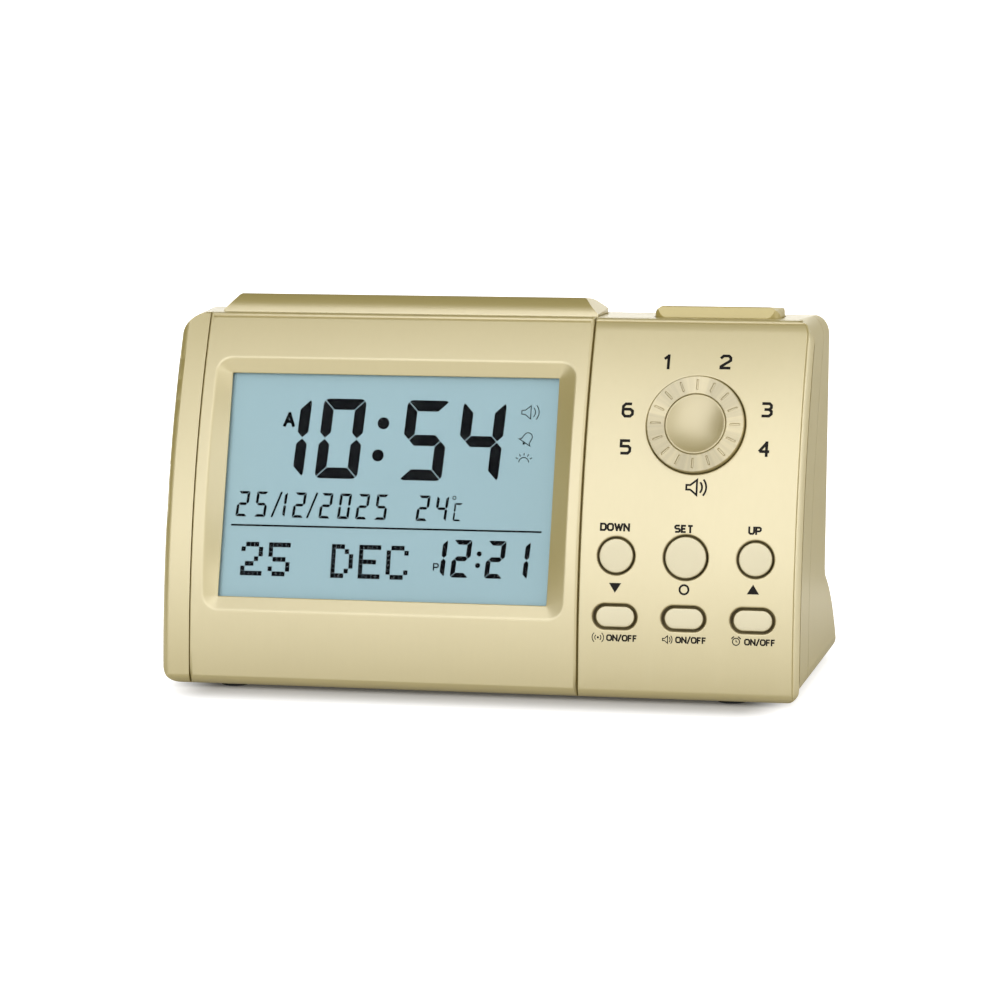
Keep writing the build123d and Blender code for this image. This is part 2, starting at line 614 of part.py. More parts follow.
def control_panel():
    """Right face plate: sloped right side, dial recess, key holes and board posts."""
    edge = PLATE_EDGE
    x0 = SEAM_X + SEAM_GAP / 2
    with BuildPart() as panel:
        with BuildSketch(DRUM_SECTION):
            with BuildLine():
                Polyline((x0, FACE_R - PLATE), (x0, FACE_R - edge), (x0 + edge, FACE_R),
                         (HALF_WIDTH - SIDE_BEVEL, FACE_R), (HALF_WIDTH, FACE_R - PLATE), close=True)
            make_face()
        revolve(axis=FACE_AXIS)
        add(BLOCK, mode=Mode.INTERSECT)
        add(control_outline(x0, HALF_WIDTH), mode=Mode.INTERSECT)
        with BuildSketch(DIAL.offset(-PLATE + 0.5)):
            Circle(DIAL_R + DIAL_GAP + 1.6)
        extrude(amount=-(RECESS_BACK - PLATE + 0.5))
        with BuildSketch(KEYS.offset(KEY_BOARD_TOP)):
            with Locations(*KEY_POSTS):
                Circle(POST_R)
        extrude(amount=-KEY_BOARD_TOP - PLATE + 0.8)
        with BuildSketch(DIAL.offset(5.0)):
            Circle(DIAL_R + DIAL_GAP)
        extrude(amount=-RECESS_FLOOR - 5.0, mode=Mode.SUBTRACT)
        with BuildSketch(DIAL):
            Circle(BUSH_R + 0.1)
        extrude(amount=-RECESS_BACK - 1.0, mode=Mode.SUBTRACT)
        for x, z, radius in ROUND_KEYS.values():
            with BuildSketch(KEYS.offset(1.0)):
                with Locations(key_spot(x, z)):
                    Circle(radius + KEY_GAP)
            extrude(amount=-5.0, mode=Mode.SUBTRACT)
            with BuildSketch(KEYS.offset(-ROUND_CHAMFER - 0.1)):
                with Locations(key_spot(x, z)):
                    Circle(radius + KEY_GAP)
            extrude(amount=2.0, taper=-45, mode=Mode.SUBTRACT)
        for x in OVAL_KEYS.values():
            with BuildSketch(KEYS.offset(1.0)):
                with Locations(key_spot(x, OVAL_Z)):
                    SlotOverall(OVAL_SIZE[0] + 2 * KEY_GAP, OVAL_SIZE[1] + 2 * KEY_GAP)
            extrude(amount=-5.0, mode=Mode.SUBTRACT)
            with BuildSketch(KEYS.offset(-OVAL_CHAMFER - 0.1)):
                with Locations(key_spot(x, OVAL_Z)):
                    SlotOverall(OVAL_SIZE[0] + 2 * KEY_GAP, OVAL_SIZE[1] + 2 * KEY_GAP)
            extrude(amount=2.0, taper=-45, mode=Mode.SUBTRACT)
        with BuildSketch(KEYS.offset(KEY_BOARD_TOP)):
            with Locations(*KEY_POSTS):
                Circle(SMALL_SCREW_R + PILOT_GAP)
        extrude(amount=SMALL_SCREW_LENGTH, mode=Mode.SUBTRACT)
    return panel.part


# ------------------------------------------------------------------ display stack
def slab_on_display(size, top, shift=0.0):
    """Flat rectangular sheet behind the window; top is its front face's depth."""
    with BuildPart() as sheet:
        with BuildSketch(DISPLAY.offset(-top)):
            with Locations((0, shift)):
                Rectangle(size[0], size[1])
        extrude(amount=-size[2])
    return sheet.part


def board_outline():
    """Outline shared by the holder's flange and the main board: a rectangle with two ears."""
    with BuildSketch() as outline:
        with Locations(((FLANGE_X[0] + FLANGE_X[1]) / 2, (FLANGE_Y[0] + FLANGE_Y[1]) / 2)):
            Rectangle(FLANGE_X[1] - FLANGE_X[0], FLANGE_Y[1] - FLANGE_Y[0])
        for x, y in HOLDER_SCREWS:
            if x < 0:
                with Locations((x + 1.0, y)):
                    Rectangle(*EAR_SIZE)
    return outline.sketch


def display_holder():
    """Tray around the lens, glass and light guide, with a screw flange behind."""
    with BuildPart() as tray:
        with BuildSketch(DISPLAY):
            Rectangle(HOLDER[0], HOLDER[1])
        extrude(amount=-HOLDER[2])
        with BuildSketch(DISPLAY.offset(-HOLDER[2])):
            add(board_outline())
        extrude(amount=FLANGE_THICK)
        with BuildSketch(DISPLAY):
            Rectangle(*HOLDER_POCKET)
        extrude(amount=-HOLDER[2], mode=Mode.SUBTRACT)
        with BuildSketch(DISPLAY.offset(-HOLDER[2])):
            with Locations(*HOLDER_SCREWS):
                Circle(SMALL_SCREW_R + SCREW_GAP)
        extrude(amount=FLANGE_THICK, mode=Mode.SUBTRACT)
    return tray.part


def main_board():
    """Circuit board screwed to the back of the display holder."""
    with BuildPart() as board:
        with BuildSketch(DISPLAY.offset(-HOLDER[2])):
            add(board_outline())
            with Locations(*HOLDER_SCREWS):
                Circle(SMALL_SCREW_R + SCREW_GAP, mode=Mode.SUBTRACT)
        extrude(amount=-BOARD_THICK)
    return board.part


def connector_strips():
    """Two rubber strips that join the glass to the board."""
    front = LENS[2] + GLASS[2]
    with BuildPart() as strips:
        with BuildSketch(DISPLAY.offset(-front)):
            with Locations((0, GLASS[1] / 2 - 1.0), (0, 1.0 - GLASS[1] / 2)):
                Rectangle(GLASS[0] - 8.0, 1.6)
        extrude(amount=front - HOLDER[2])
    return strips.part


def board_chips():
    """Processor, sound chip and memory on the back of the main board."""
    with BuildPart() as chips:
        with BuildSketch(DISPLAY.offset(-HOLDER[2] - BOARD_THICK)):
            with Locations((-6.0, 6.0)):
                Rectangle(14.0, 14.0)
            with Locations((20.0, 8.0)):
                Rectangle(10.0, 6.0)
            with Locations((20.0, -6.0)):
                Rectangle(10.0, 6.0)
        extrude(amount=-1.4)
    return chips.part


def quartz_crystal():
    """Small can of the clock crystal, lying on the board."""
    radius = 1.5
    foot = DISPLAY.from_local_coords(Vector(-20.0, 2.0, -HOLDER[2] - BOARD_THICK - radius))
    with BuildPart() as can:
        with BuildSketch(Plane(origin=foot, x_dir=DISPLAY.z_dir, z_dir=DISPLAY.y_dir)):
            Circle(radius)
        extrude(amount=8.0)
    return can.part


def board_capacitors():
    """Two upright capacitors on the main board."""
    with BuildPart() as cans:
        with BuildSketch(DISPLAY.offset(-HOLDER[2] - BOARD_THICK)):
            with Locations((40.0, 18.0), (40.0, 8.0)):
                Circle(3.0)
        extrude(amount=-8.0)
    return cans.part


def temperature_sensor():
    """Bead sensor that stands on the lower edge of the main board."""
    with BuildPart() as bead:
        with BuildSketch(DISPLAY.offset(-HOLDER[2] - BOARD_THICK)):
            with Locations((44.0, -24.0)):
                Rectangle(4.6, 3.6)
        extrude(amount=-4.6)
        fillet(bead.edges().filter_by(Axis(DISPLAY.origin, DISPLAY.z_dir)), 0.8)
    return bead.part


# ------------------------------------------------------------------ dial and keys
def dial_knob():
    """Turned knob: skirt in the recess, sloped ring with engraved ticks, bored hub."""
    slope = math.atan2(DIAL_CREST_H - DIAL_EDGE_H, DIAL_R - DIAL_CREST_R)
    with BuildPart() as knob:
        with BuildSketch(section_plane(DIAL)):
            with BuildLine():
                Polyline((0, 0.6), (DIAL_CREST_R - 0.1, 0.6), (DIAL_CREST_R - 0.1, DIAL_CREST_H),
                         (DIAL_CREST_R + 0.2, DIAL_CREST_H), (DIAL_R, DIAL_EDGE_H), (DIAL_R, -3.6),
                         (DIAL_R - 1.4, -3.6), (DIAL_R - 1.4, -0.6), (4.0, -0.6), (4.0, -2.2),
                         (SHAFT_R, -2.2), (SHAFT_R, -0.2), (0, -0.2), close=True)
            make_face()
        revolve(axis=Axis(DIAL.origin, DIAL.z_dir))
        add(dial_ticks(slope), mode=Mode.SUBTRACT)
    return knob.part


def dial_ticks(slope):
    """Engraving tool: thin bars across the ring, kept to a layer under its slope."""
    inner, outer = TICK_REACH
    rise = math.tan(slope)
    low = DIAL_EDGE_H + (DIAL_R - outer) * rise
    high = DIAL_EDGE_H + (DIAL_R - inner) * rise
    with BuildPart() as ticks:
        with BuildSketch(section_plane(DIAL)):
            with BuildLine():
                Polyline((inner, high - TICK_DEPTH), (outer, low - TICK_DEPTH), (outer, low + 1.0),
                         (inner, high + 1.0), close=True)
            make_face()
        revolve(axis=Axis(DIAL.origin, DIAL.z_dir))
        with BuildSketch(DIAL):
            with PolarLocations(0, DIAL_TICKS // 2, angular_range=180 - 360 / DIAL_TICKS,
                                endpoint=True):
                SlotOverall(4 * DIAL_R, TICK_WIDTH)
        extrude(amount=6.0, mode=Mode.INTERSECT)
    return ticks.part


def dial_cap():
    """Dished disc pressed into the middle of the knob."""
    radius = DIAL_CREST_R - 0.15
    rim = DIAL_CREST_H - 0.1
    rise = rim - DIAL_DISH_H
    dish_r = (radius ** 2 + rise ** 2) / (2 * rise)
    half_way = DIAL_DISH_H + dish_r - math.sqrt(dish_r ** 2 - (radius / 2) ** 2)
    with BuildPart() as cap:
        with BuildSketch(section_plane(DIAL)):
            with BuildLine():
                Polyline((0, DIAL_DISH_H), (0, 0.6), (radius, 0.6), (radius, rim))
                ThreePointArc((radius, rim), (radius / 2, half_way), (0, DIAL_DISH_H))
            make_face()
        revolve(axis=Axis(DIAL.origin, DIAL.z_dir))
    return cap.part


def switch_shaft():
    """Shaft of the rotary switch, which carries the knob."""
    with BuildPart() as shaft:
        with BuildSketch(DIAL.offset(-10.0)):
            Circle(SHAFT_R)
        extrude(amount=9.8)
    return shaft.part


def rotary_switch():
    """Six-way switch: square body behind the panel and threaded bush through it."""
    with BuildPart() as switch:
        with BuildSketch(DIAL.offset(-RECESS_BACK - 0.05)):
            RectangleRounded(SWITCH_BODY, SWITCH_BODY, 1.0)
        extrude(amount=-SWITCH_BODY_DEPTH)
        with BuildSketch(DIAL.offset(-RECESS_BACK - 0.05)):
            Circle(BUSH_R)
        extrude(amount=RECESS_BACK - 2.6)
        with BuildSketch(DIAL):
            Circle(SHAFT_R + RUNNING_GAP)
        extrude(amount=-10.05, mode=Mode.SUBTRACT)
    return switch.part


def dial_nut():
    """Hexagon nut that clamps the rotary switch to the panel, under the knob."""
    with BuildPart() as nut:
        with BuildSketch(DIAL.offset(-RECESS_FLOOR)):
            RegularPolygon(5.0, 6, major_radius=False)
            Circle(BUSH_R, mode=Mode.SUBTRACT)
        extrude(amount=1.5)
    return nut.part


def dial_board():
    """Small board behind the rotary switch."""
    with BuildPart() as board:
        with BuildSketch(DIAL.offset(-RECESS_BACK - SWITCH_BODY_DEPTH - 0.05)):
            RectangleRounded(*DIAL_BOARD, 1.0)
        extrude(amount=-BOARD_THICK)
    return board.part


def round_key(x, z, radius):
    """Round push button with a stop flange and a stem."""
    spot = key_spot(x, z)
    with BuildPart() as key:
        with BuildSketch(KEYS.offset(KEY_FLANGE_TOP - 1.0)):
            with Locations(spot):
                Circle(radius + KEY_FLANGE)
        extrude(amount=1.0)
        with BuildSketch(KEYS.offset(KEY_FLANGE_TOP)):
            with Locations(spot):
                Circle(radius)
        extrude(amount=ROUND_KEY_PROUD - KEY_FLANGE_TOP)
        fillet(key.faces().sort_by(Axis(KEYS.origin, KEYS.z_dir))[-1].edges(), KEY_TOP_R)
        with BuildSketch(KEYS.offset(KEY_STEM_END)):
            with Locations(spot):
                Circle(STEM_R)
        extrude(amount=KEY_FLANGE_TOP - 1.0 - KEY_STEM_END)
    return key.part


def oval_key(x):
    """Oval push button, set a little below the face."""
    spot = key_spot(x, OVAL_Z)
    with BuildPart() as key:
        with BuildSketch(KEYS.offset(KEY_FLANGE_TOP - 1.0)):
            with Locations(spot):
                SlotOverall(OVAL_SIZE[0] + 2 * KEY_FLANGE, OVAL_SIZE[1] + 2 * KEY_FLANGE)
        extrude(amount=1.0)
        with BuildSketch(KEYS.offset(KEY_FLANGE_TOP)):
            with Locations(spot):
                SlotOverall(*OVAL_SIZE)
        extrude(amount=OVAL_KEY_PROUD - KEY_FLANGE_TOP)
        fillet(key.faces().sort_by(Axis(KEYS.origin, KEYS.z_dir))[-1].edges(), KEY_TOP_R)
        with BuildSketch(KEYS.offset(KEY_STEM_END)):
            with Locations(spot):
                Circle(STEM_R)
        extrude(amount=KEY_FLANGE_TOP - 1.0 - KEY_STEM_END)
    return key.part


def key_spots():
    """Places of all six keys on the key plane."""
    spots = [key_spot(x, z) for x, z, radius in ROUND_KEYS.values()]
    spots += [key_spot(x, OVAL_Z) for x in OVAL_KEYS.values()]
    return spots


def rubber_keypad():
    """Rubber sheet on the key board with one low dome under each key."""
    with BuildPart() as pad:
        with BuildSketch(KEYS.offset(KEY_BOARD_TOP)):
            with Locations((0, KEY_BOARD_SHIFT)):
                RectangleRounded(KEY_BOARD[0] - 1.0, KEY_BOARD[1] - 1.0, 2.0)
            with Locations(*KEY_POSTS):
                Circle(2.6, mode=Mode.SUBTRACT)
        extrude(amount=PAD_TOP - KEY_BOARD_TOP)
        with BuildSketch(KEYS.offset(PAD_TOP)):
            with Locations(*key_spots()):
                Circle(3.4)
        extrude(amount=DOME_TOP - PAD_TOP, taper=30)
    return pad.part


def key_board():
    """Board that carries the keypad, screwed to the control panel's posts."""
    with BuildPart() as board:
        with BuildSketch(KEYS.offset(KEY_BOARD_TOP)):
            with Locations((0, KEY_BOARD_SHIFT)):
                RectangleRounded(KEY_BOARD[0], KEY_BOARD[1], 1.0)
            with Locations(*KEY_POSTS):
                Circle(SMALL_SCREW_R + SCREW_GAP, mode=Mode.SUBTRACT)
        extrude(amount=-BOARD_THICK)
    return board.part


# ------------------------------------------------------------------ top controls
def snooze_bar():
    """Long bar: rounded front, sloped ends, plug with a stop flange below."""
    with BuildPart() as bar:
        with BuildSketch(Plane.YZ.offset(-FAR * 2)):
            with BuildLine():
                ThreePointArc((BAR_Y[0], 94.2), (4.07, 96.43), (BAR_CROWN_Y, BAR_TOP - 0.4))
                ThreePointArc((BAR_CROWN_Y, BAR_TOP - 0.4), (6.41, BAR_TOP - 0.165), (6.9, BAR_TOP))
                Polyline((6.9, BAR_TOP), (11.0, BAR_TOP - 0.75), (12.8, BAR_TOP - 1.6),
                         (BAR_Y[1], 94.6), (BAR_Y[1], PLUG_FOOT), (BAR_Y[0], PLUG_FOOT), (BAR_Y[0], 94.2))
            make_face()
        extrude(amount=FAR * 4)
        with BuildSketch(Plane.XZ.offset(-FAR)) as ends:
            with BuildLine():
                Polyline((BAR_X[0], PLUG_FOOT), (BAR_X[0], 94.7), (BAR_TOP_X[0], BAR_TOP), (BAR_TOP_X[1], BAR_TOP),
                         (BAR_X[1], 94.7), (BAR_X[1], PLUG_FOOT), close=True)
            make_face()
            fillet(nearest_vertex(ends, BAR_TOP_X[0], BAR_TOP), 1.4)
            fillet(nearest_vertex(ends, BAR_TOP_X[1], BAR_TOP), 1.4)
        extrude(amount=FAR * 2, mode=Mode.INTERSECT)
        add(front_box(BAR_X[0] + 4.0, BAR_X[1] - 4.0, PLUG_FOOT - 1.0, BAR_HOLLOW_ROOF, *BAR_HOLLOW_Y),
            mode=Mode.SUBTRACT)
        for end in BAR_X:
            add(front_box(end - BAR_FLANGE, end + BAR_FLANGE, PLUG_FOOT, PLUG_FOOT + TOP_FLANGE, *BAR_Y))
        with BuildSketch(Plane.XY.offset(BAR_HOLLOW_ROOF)):
            with Locations(*[(x, TOP_LINE_Y) for x in SNOOZE_SWITCHES_X]):
                Circle(STEM_R)
        extrude(amount=STEM_FOOT - BAR_HOLLOW_ROOF)
    return bar.part


def light_button():
    """Low button on the case top: flat front, rounded ends, top that falls to the rear, flange and stem."""
    with BuildPart() as button:
        with BuildSketch(Plane.XY.offset(PLUG_FOOT)):
            add(light_outline(0.0))
        extrude(amount=LIGHT_TOP - PLUG_FOOT)
        with BuildSketch(Plane.YZ.offset(-FAR * 2)):
            with BuildLine():
                Polyline((LIGHT_Y[0], PLUG_FOOT), (LIGHT_Y[0], 94.4), (3.85, LIGHT_TOP - 0.3))
                ThreePointArc((3.85, LIGHT_TOP - 0.3), (4.0, LIGHT_TOP - 0.08), (4.25, LIGHT_TOP))
                Polyline((4.25, LIGHT_TOP), (LIGHT_Y[1], 95.4), (LIGHT_Y[1], PLUG_FOOT), (LIGHT_Y[0], PLUG_FOOT))
            make_face()
        extrude(amount=FAR * 4, mode=Mode.INTERSECT)
        with BuildSketch(Plane.XZ.offset(-FAR)):
            with BuildLine():
                Polyline((LIGHT_X[1], 94.4), (LIGHT_X[1], PLUG_FOOT), (LIGHT_X[0], PLUG_FOOT), (LIGHT_X[0], 94.4))
                ThreePointArc((LIGHT_X[0], 94.4), (LIGHT_X[0] + 0.94, 96.31), (LIGHT_X[0] + LIGHT_CORNER_R, LIGHT_TOP))
                Line((LIGHT_X[0] + LIGHT_CORNER_R, LIGHT_TOP), (LIGHT_X[1] - LIGHT_CORNER_R, LIGHT_TOP))
                ThreePointArc((LIGHT_X[1] - LIGHT_CORNER_R, LIGHT_TOP), (LIGHT_X[1] - 0.94, 96.31), (LIGHT_X[1], 94.4))
            make_face()
        extrude(amount=FAR * 2, mode=Mode.INTERSECT)
        with BuildSketch(Plane.XY.offset(PLUG_FOOT)):
            add(light_outline(-WALL))
        extrude(amount=LIGHT_HOLLOW_ROOF - PLUG_FOOT, mode=Mode.SUBTRACT)
        with BuildSketch(Plane.XY.offset(PLUG_FOOT)):
            add(light_outline(LIGHT_FLANGE))
            add(light_outline(-WALL), mode=Mode.SUBTRACT)
        extrude(amount=TOP_FLANGE)
        with BuildSketch(Plane.XY.offset(LIGHT_HOLLOW_ROOF)):
            with Locations((LIGHT_SWITCH_X, TOP_LINE_Y)):
                Circle(STEM_R)
        extrude(amount=STEM_FOOT - LIGHT_HOLLOW_ROOF)
    return button.part


def top_board():
    """Narrow board under the snooze bar and the light button."""
    with BuildPart() as board:
        with BuildSketch(Plane.XY.offset(TOP_BOARD_Z)):
            with Locations(((TOP_BOARD_X[0] + TOP_BOARD_X[1]) / 2, (TOP_BOARD_Y[0] + TOP_BOARD_Y[1]) / 2)):
                RectangleRounded(TOP_BOARD_X[1] - TOP_BOARD_X[0], TOP_BOARD_Y[1] - TOP_BOARD_Y[0], 1.0)
            with Locations(*[(x, TOP_LINE_Y) for x in TOP_POSTS_X]):
                Circle(SMALL_SCREW_R + SCREW_GAP, mode=Mode.SUBTRACT)
        extrude(amount=BOARD_THICK)
    return board.part


def push_switch(x):
    """Square push switch with a round plunger, standing on the top board."""
    base = TOP_BOARD_Z + BOARD_THICK
    with BuildPart() as switch:
        with BuildSketch(Plane.XY.offset(base)):
            with Locations((x, TOP_LINE_Y)):
                Rectangle(SWITCH_SIZE, SWITCH_SIZE)
        extrude(amount=SWITCH_HEIGHT)
        with BuildSketch(Plane.XY.offset(base + SWITCH_HEIGHT)):
            with Locations((x, TOP_LINE_Y)):
                Circle(PLUNGER_R)
        extrude(amount=PLUNGER_HEIGHT)
    return switch.part


def coil_spring(start, direction, radius, wire, length, turns):
    """Open coil from start along direction."""
    path = Helix(pitch=length / turns, height=length, radius=radius, center=start, direction=direction)
    with BuildPart() as coil:
        with BuildSketch(Plane(origin=path @ 0, z_dir=path % 0)):
            Circle(wire / 2)
        sweep(path=path, is_frenet=True)
    return coil.part


def spring_pair(xs, roof, name):
    """Two upright springs between the top board and the roof of a top control."""
    wire = 0.5
    foot = TOP_BOARD_Z + BOARD_THICK + wire / 2 + 0.05
    length = roof - foot - wire / 2 - 0.1
    coils = [coil_spring((x, TOP_LINE_Y, foot), (0, 0, 1), 2.2, wire, length, 6) for x in xs]
    return keep(Compound(children=coils), name)


# ------------------------------------------------------------------ battery bay
def battery_cell(index):
    """One AAA cell; neighbours point opposite ways."""
    way = 1 if index % 2 == 0 else -1
    y = CELLS_Y[index]
    start = -way * (BAY_X - 0.45 - 5.4)
    with BuildPart() as cell:
        with BuildSketch(Plane(origin=(start, y, CELLS_Z), z_dir=(way, 0, 0))):
            Circle(CELL_R - 0.05)
        extrude(amount=CELL_LENGTH)
        fillet(cell.edges(), 0.4)
        with BuildSketch(Plane(origin=(start + way * CELL_LENGTH, y, CELLS_Z), z_dir=(way, 0, 0))):
            Circle(CELL_NUB[0])
        extrude(amount=CELL_NUB[1])
    return cell.part


def battery_contacts():
    """Flat metal plates on both ends of the bay."""
    with BuildPart() as plates:
        for side in (-1, 1):
            with BuildSketch(Plane(origin=(side * BAY_X, 0, 0), x_dir=(0, 1, 0), z_dir=(-side, 0, 0))):
                with Locations(*[(y, -side * CELLS_Z) for y in CELLS_Y]):
                    Rectangle(8.0, 8.4)
            extrude(amount=0.4)
    return plates.part


def battery_springs():
    """Coil springs at the flat end of each cell."""
    coils = []
    for index, y in enumerate(CELLS_Y):
        way = 1 if index % 2 == 0 else -1
        start = -way * (BAY_X - 0.4 - 0.35)
        coils.append(coil_spring((start, y, CELLS_Z), (way, 0, 0), 2.6, 0.6, 4.7, 4))
    return keep(Compound(children=coils), "battery_springs")


def battery_door():
    """Door plate with its hinge barrel, two hinge pins and a finger notch."""
    with BuildPart() as door:
        add(front_box(-DOOR_X, DOOR_X, UNDERSIDE, UNDERSIDE + DOOR_THICK, DOOR_Y[0], DOOR_Y[1]))
        with BuildSketch(Plane.YZ.offset(-DOOR_X)):
            with Locations((DOOR_Y[0], DOOR_PIVOT_Z)):
                Circle(DOOR_BARREL_R)
        extrude(amount=2 * DOOR_X)
        with BuildSketch(Plane.YZ.offset(-BAY_X - BAY_WALL + 0.3)):
            with Locations((DOOR_Y[0], DOOR_PIVOT_Z)):
                Circle(DOOR_PIN_R)
        extrude(amount=2 * (BAY_X + BAY_WALL - 0.3))
        with BuildSketch(Plane.XY.offset(UNDERSIDE)):
            with Locations((0, DOOR_Y[1] - 3.5)):
                SlotOverall(14.0, 3.0)
        extrude(amount=0.7, mode=Mode.SUBTRACT)
    return door.part


# ------------------------------------------------------------------ speaker
def speaker_basket():
    """Pressed frame of the speaker."""
    with BuildPart() as basket:
        with BuildSketch(section_plane(SPEAKER)):
            with BuildLine():
                Polyline((13.0, -13.0), (15.0, -13.0), (22.4, -4.95), (SPEAKER_R, -4.95), (SPEAKER_R, -3.7),
                         (21.2, -3.7), (14.2, -12.0), (13.0, -12.0), close=True)
            make_face()
        revolve(axis=Axis(SPEAKER.origin, SPEAKER.z_dir))
    return basket.part


def speaker_magnet():
    """Magnet and its cup behind the basket."""
    with BuildPart() as magnet:
        with BuildSketch(SPEAKER.offset(-13.0)):
            Circle(14.0)
        extrude(amount=-5.5)
        fillet(magnet.faces().sort_by(Axis.Y)[0].edges(), 0.8)
    return magnet.part


def speaker_cone():
    """Paper cone with its dust cap and the gasket that seals it to the rear wall."""
    with BuildPart() as cone:
        with BuildSketch(section_plane(SPEAKER)):
            with BuildLine():
                Polyline((0, -8.6), (6.0, -9.4), (19.4, -3.0), (20.2, -2.05), (24.8, -2.05), (24.8, -3.65),
                         (20.0, -3.65), (6.6, -10.6), (0, -10.6), close=True)
            make_face()
        revolve(axis=Axis(SPEAKER.origin, SPEAKER.z_dir))
    return cone.part


def speaker_clips():
    """Three small plates that press the speaker's rim against the rear wall."""
    with BuildPart() as clips:
        with BuildSketch(SPEAKER.offset(CLIP_BACK + CLIP_THICK)):
            with PolarLocations(SPEAKER_POSTS[0] - 1.8, *SPEAKER_POSTS[1:]):
                Rectangle(7.6, 4.6)
            with PolarLocations(*SPEAKER_POSTS):
                Circle(SMALL_SCREW_R + SCREW_GAP, mode=Mode.SUBTRACT)
        extrude(amount=-CLIP_THICK)
    return clips.part


# ------------------------------------------------------------------ feet and fasteners
def rubber_feet():
    """Four round pads sunk into the underside."""
    with BuildPart() as feet:
        with BuildSketch(Plane.XY):
            with Locations(*FEET):
                Circle(FOOT_R)
        extrude(amount=FOOT_HEIGHT)
        chamfer(feet.faces().group_by(Axis.Z)[0].edges(), 0.3)
    return feet.part


def screw(plane, radius, length, head_r, head):
    """Pan-head screw: plane is its seat and looks out of the head."""
    with BuildPart() as body:
        with BuildSketch(plane):
            Circle(head_r)
        extrude(amount=head)
        fillet(body.faces().sort_by(Axis(plane.origin, plane.z_dir))[-1].edges(), head * 0.3)
        with BuildSketch(plane):
            Circle(radius)
        extrude(amount=-length)
        with BuildSketch(plane.offset(head)):
            Rectangle(head_r * 1.1, head_r * 0.28)
            Rectangle(head_r * 0.28, head_r * 1.1)
        extrude(amount=-head * 0.5, mode=Mode.SUBTRACT)
    return body.part


def case_screws():
    """Four screws that join the rear housing to the front housing."""
    screws = []
    for x, z in CASE_SCREWS:
        seat = Plane(origin=(x, face_y(z, PARTING) + SCREW_SEAT, z), x_dir=(1, 0, 0), z_dir=(0, 1, 0))
        screws.append(screw(seat, SCREW_R, SCREW_LENGTH, SCREW_HEAD_R, SCREW_HEAD))
    return keep(Compound(children=screws), "case_screws")


def board_screws():
    """Small identical screws of the display holder and the boards."""
    seats = []
    for x, y in HOLDER_SCREWS:
        spot = DISPLAY.from_local_coords(Vector(x, y, -HOLDER[2] - BOARD_THICK))
        seats.append(Plane(origin=spot, x_dir=(1, 0, 0), z_dir=-DISPLAY.z_dir))
    for x, y in KEY_POSTS:
        spot = KEYS.from_local_coords(Vector(x, y, KEY_BOARD_TOP - BOARD_THICK))
        seats.append(Plane(origin=spot, x_dir=(1, 0, 0), z_dir=-KEYS.z_dir))
    for x in TOP_POSTS_X:
        seats.append(Plane(origin=(x, TOP_LINE_Y, TOP_BOARD_Z), x_dir=(1, 0, 0), z_dir=(0, 0, -1)))
    screws = [screw(seat, SMALL_SCREW_R, SMALL_SCREW_LENGTH, SMALL_HEAD_R, SMALL_HEAD) for seat in seats]
    return keep(Compound(children=screws), "board_screws")


def speaker_screws():
    """Three short screws of the speaker clips."""
    reach, count, first = SPEAKER_POSTS
    screws = []
    for step in range(count):
        angle = math.radians(first + 360 * step / count)
        spot = SPEAKER.from_local_coords(Vector(reach * math.cos(angle), reach * math.sin(angle), CLIP_BACK))
        seat = Plane(origin=spot, x_dir=(1, 0, 0), z_dir=-SPEAKER.z_dir)
        screws.append(screw(seat, SMALL_SCREW_R, SPEAKER_SCREW_LENGTH, SMALL_HEAD_R, SMALL_HEAD))
    return keep(Compound(children=screws), "speaker_screws")


# ------------------------------------------------------------------ build and write
keep(front_housing(), "front_housing")
keep(rear_housing(), "rear_housing")
keep(display_panel(), "display_panel")
keep(control_panel(), "control_panel")
keep(slab_on_display(LENS, 0.0), "display_lens")
keep(slab_on_display(GLASS, LENS[2]), "display_glass")
keep(slab_on_display(GUIDE, LENS[2] + GLASS[2] + 0.1), "light_guide")
keep(display_holder(), "display_holder")
keep(connector_strips(), "connector_strips")
keep(main_board(), "main_board")
keep(board_chips(), "board_chips")
keep(quartz_crystal(), "quartz_crystal")
keep(board_capacitors(), "board_capacitors")
keep(temperature_sensor(), "temperature_sensor")
keep(dial_knob(), "dial_knob")
keep(dial_cap(), "dial_cap")
keep(switch_shaft(), "switch_shaft")
keep(rotary_switch(), "rotary_switch")
keep(dial_nut(), "dial_nut")
keep(dial_board(), "dial_board")
for key_name, (key_x, key_z, key_radius) in ROUND_KEYS.items():
    keep(round_key(key_x, key_z, key_radius), key_name)
for key_name, key_x in OVAL_KEYS.items():
    keep(oval_key(key_x), key_name)
keep(rubber_keypad(), "rubber_keypad")
keep(key_board(), "key_board")
keep(snooze_bar(), "snooze_bar")
keep(light_button(), "light_button")
keep(top_board(), "top_board")
for number, switch_x in enumerate(SNOOZE_SWITCHES_X, 1):
    keep(push_switch(switch_x), f"snooze_switch_{number}")
keep(push_switch(LIGHT_SWITCH_X), "light_switch")
spring_pair(SNOOZE_SPRINGS_X, BAR_HOLLOW_ROOF, "snooze_springs")
spring_pair(LIGHT_SPRINGS_X, LIGHT_HOLLOW_ROOF, "light_springs")
for cell_index in range(len(CELLS_Y)):
    keep(battery_cell(cell_index), f"battery_cell_{cell_index + 1}")
keep(battery_contacts(), "battery_contacts")
battery_springs()
keep(battery_door(), "battery_door")
keep(speaker_basket(), "speaker_basket")
keep(speaker_magnet(), "speaker_magnet")
keep(speaker_cone(), "speaker_cone")
keep(speaker_clips(), "speaker_clips")
keep(rubber_feet(), "rubber_feet")
case_screws()
board_screws()
speaker_screws()

os.makedirs("parts", exist_ok=True)
for piece in parts:
    export_step(piece, f"parts/{piece.label}.step")
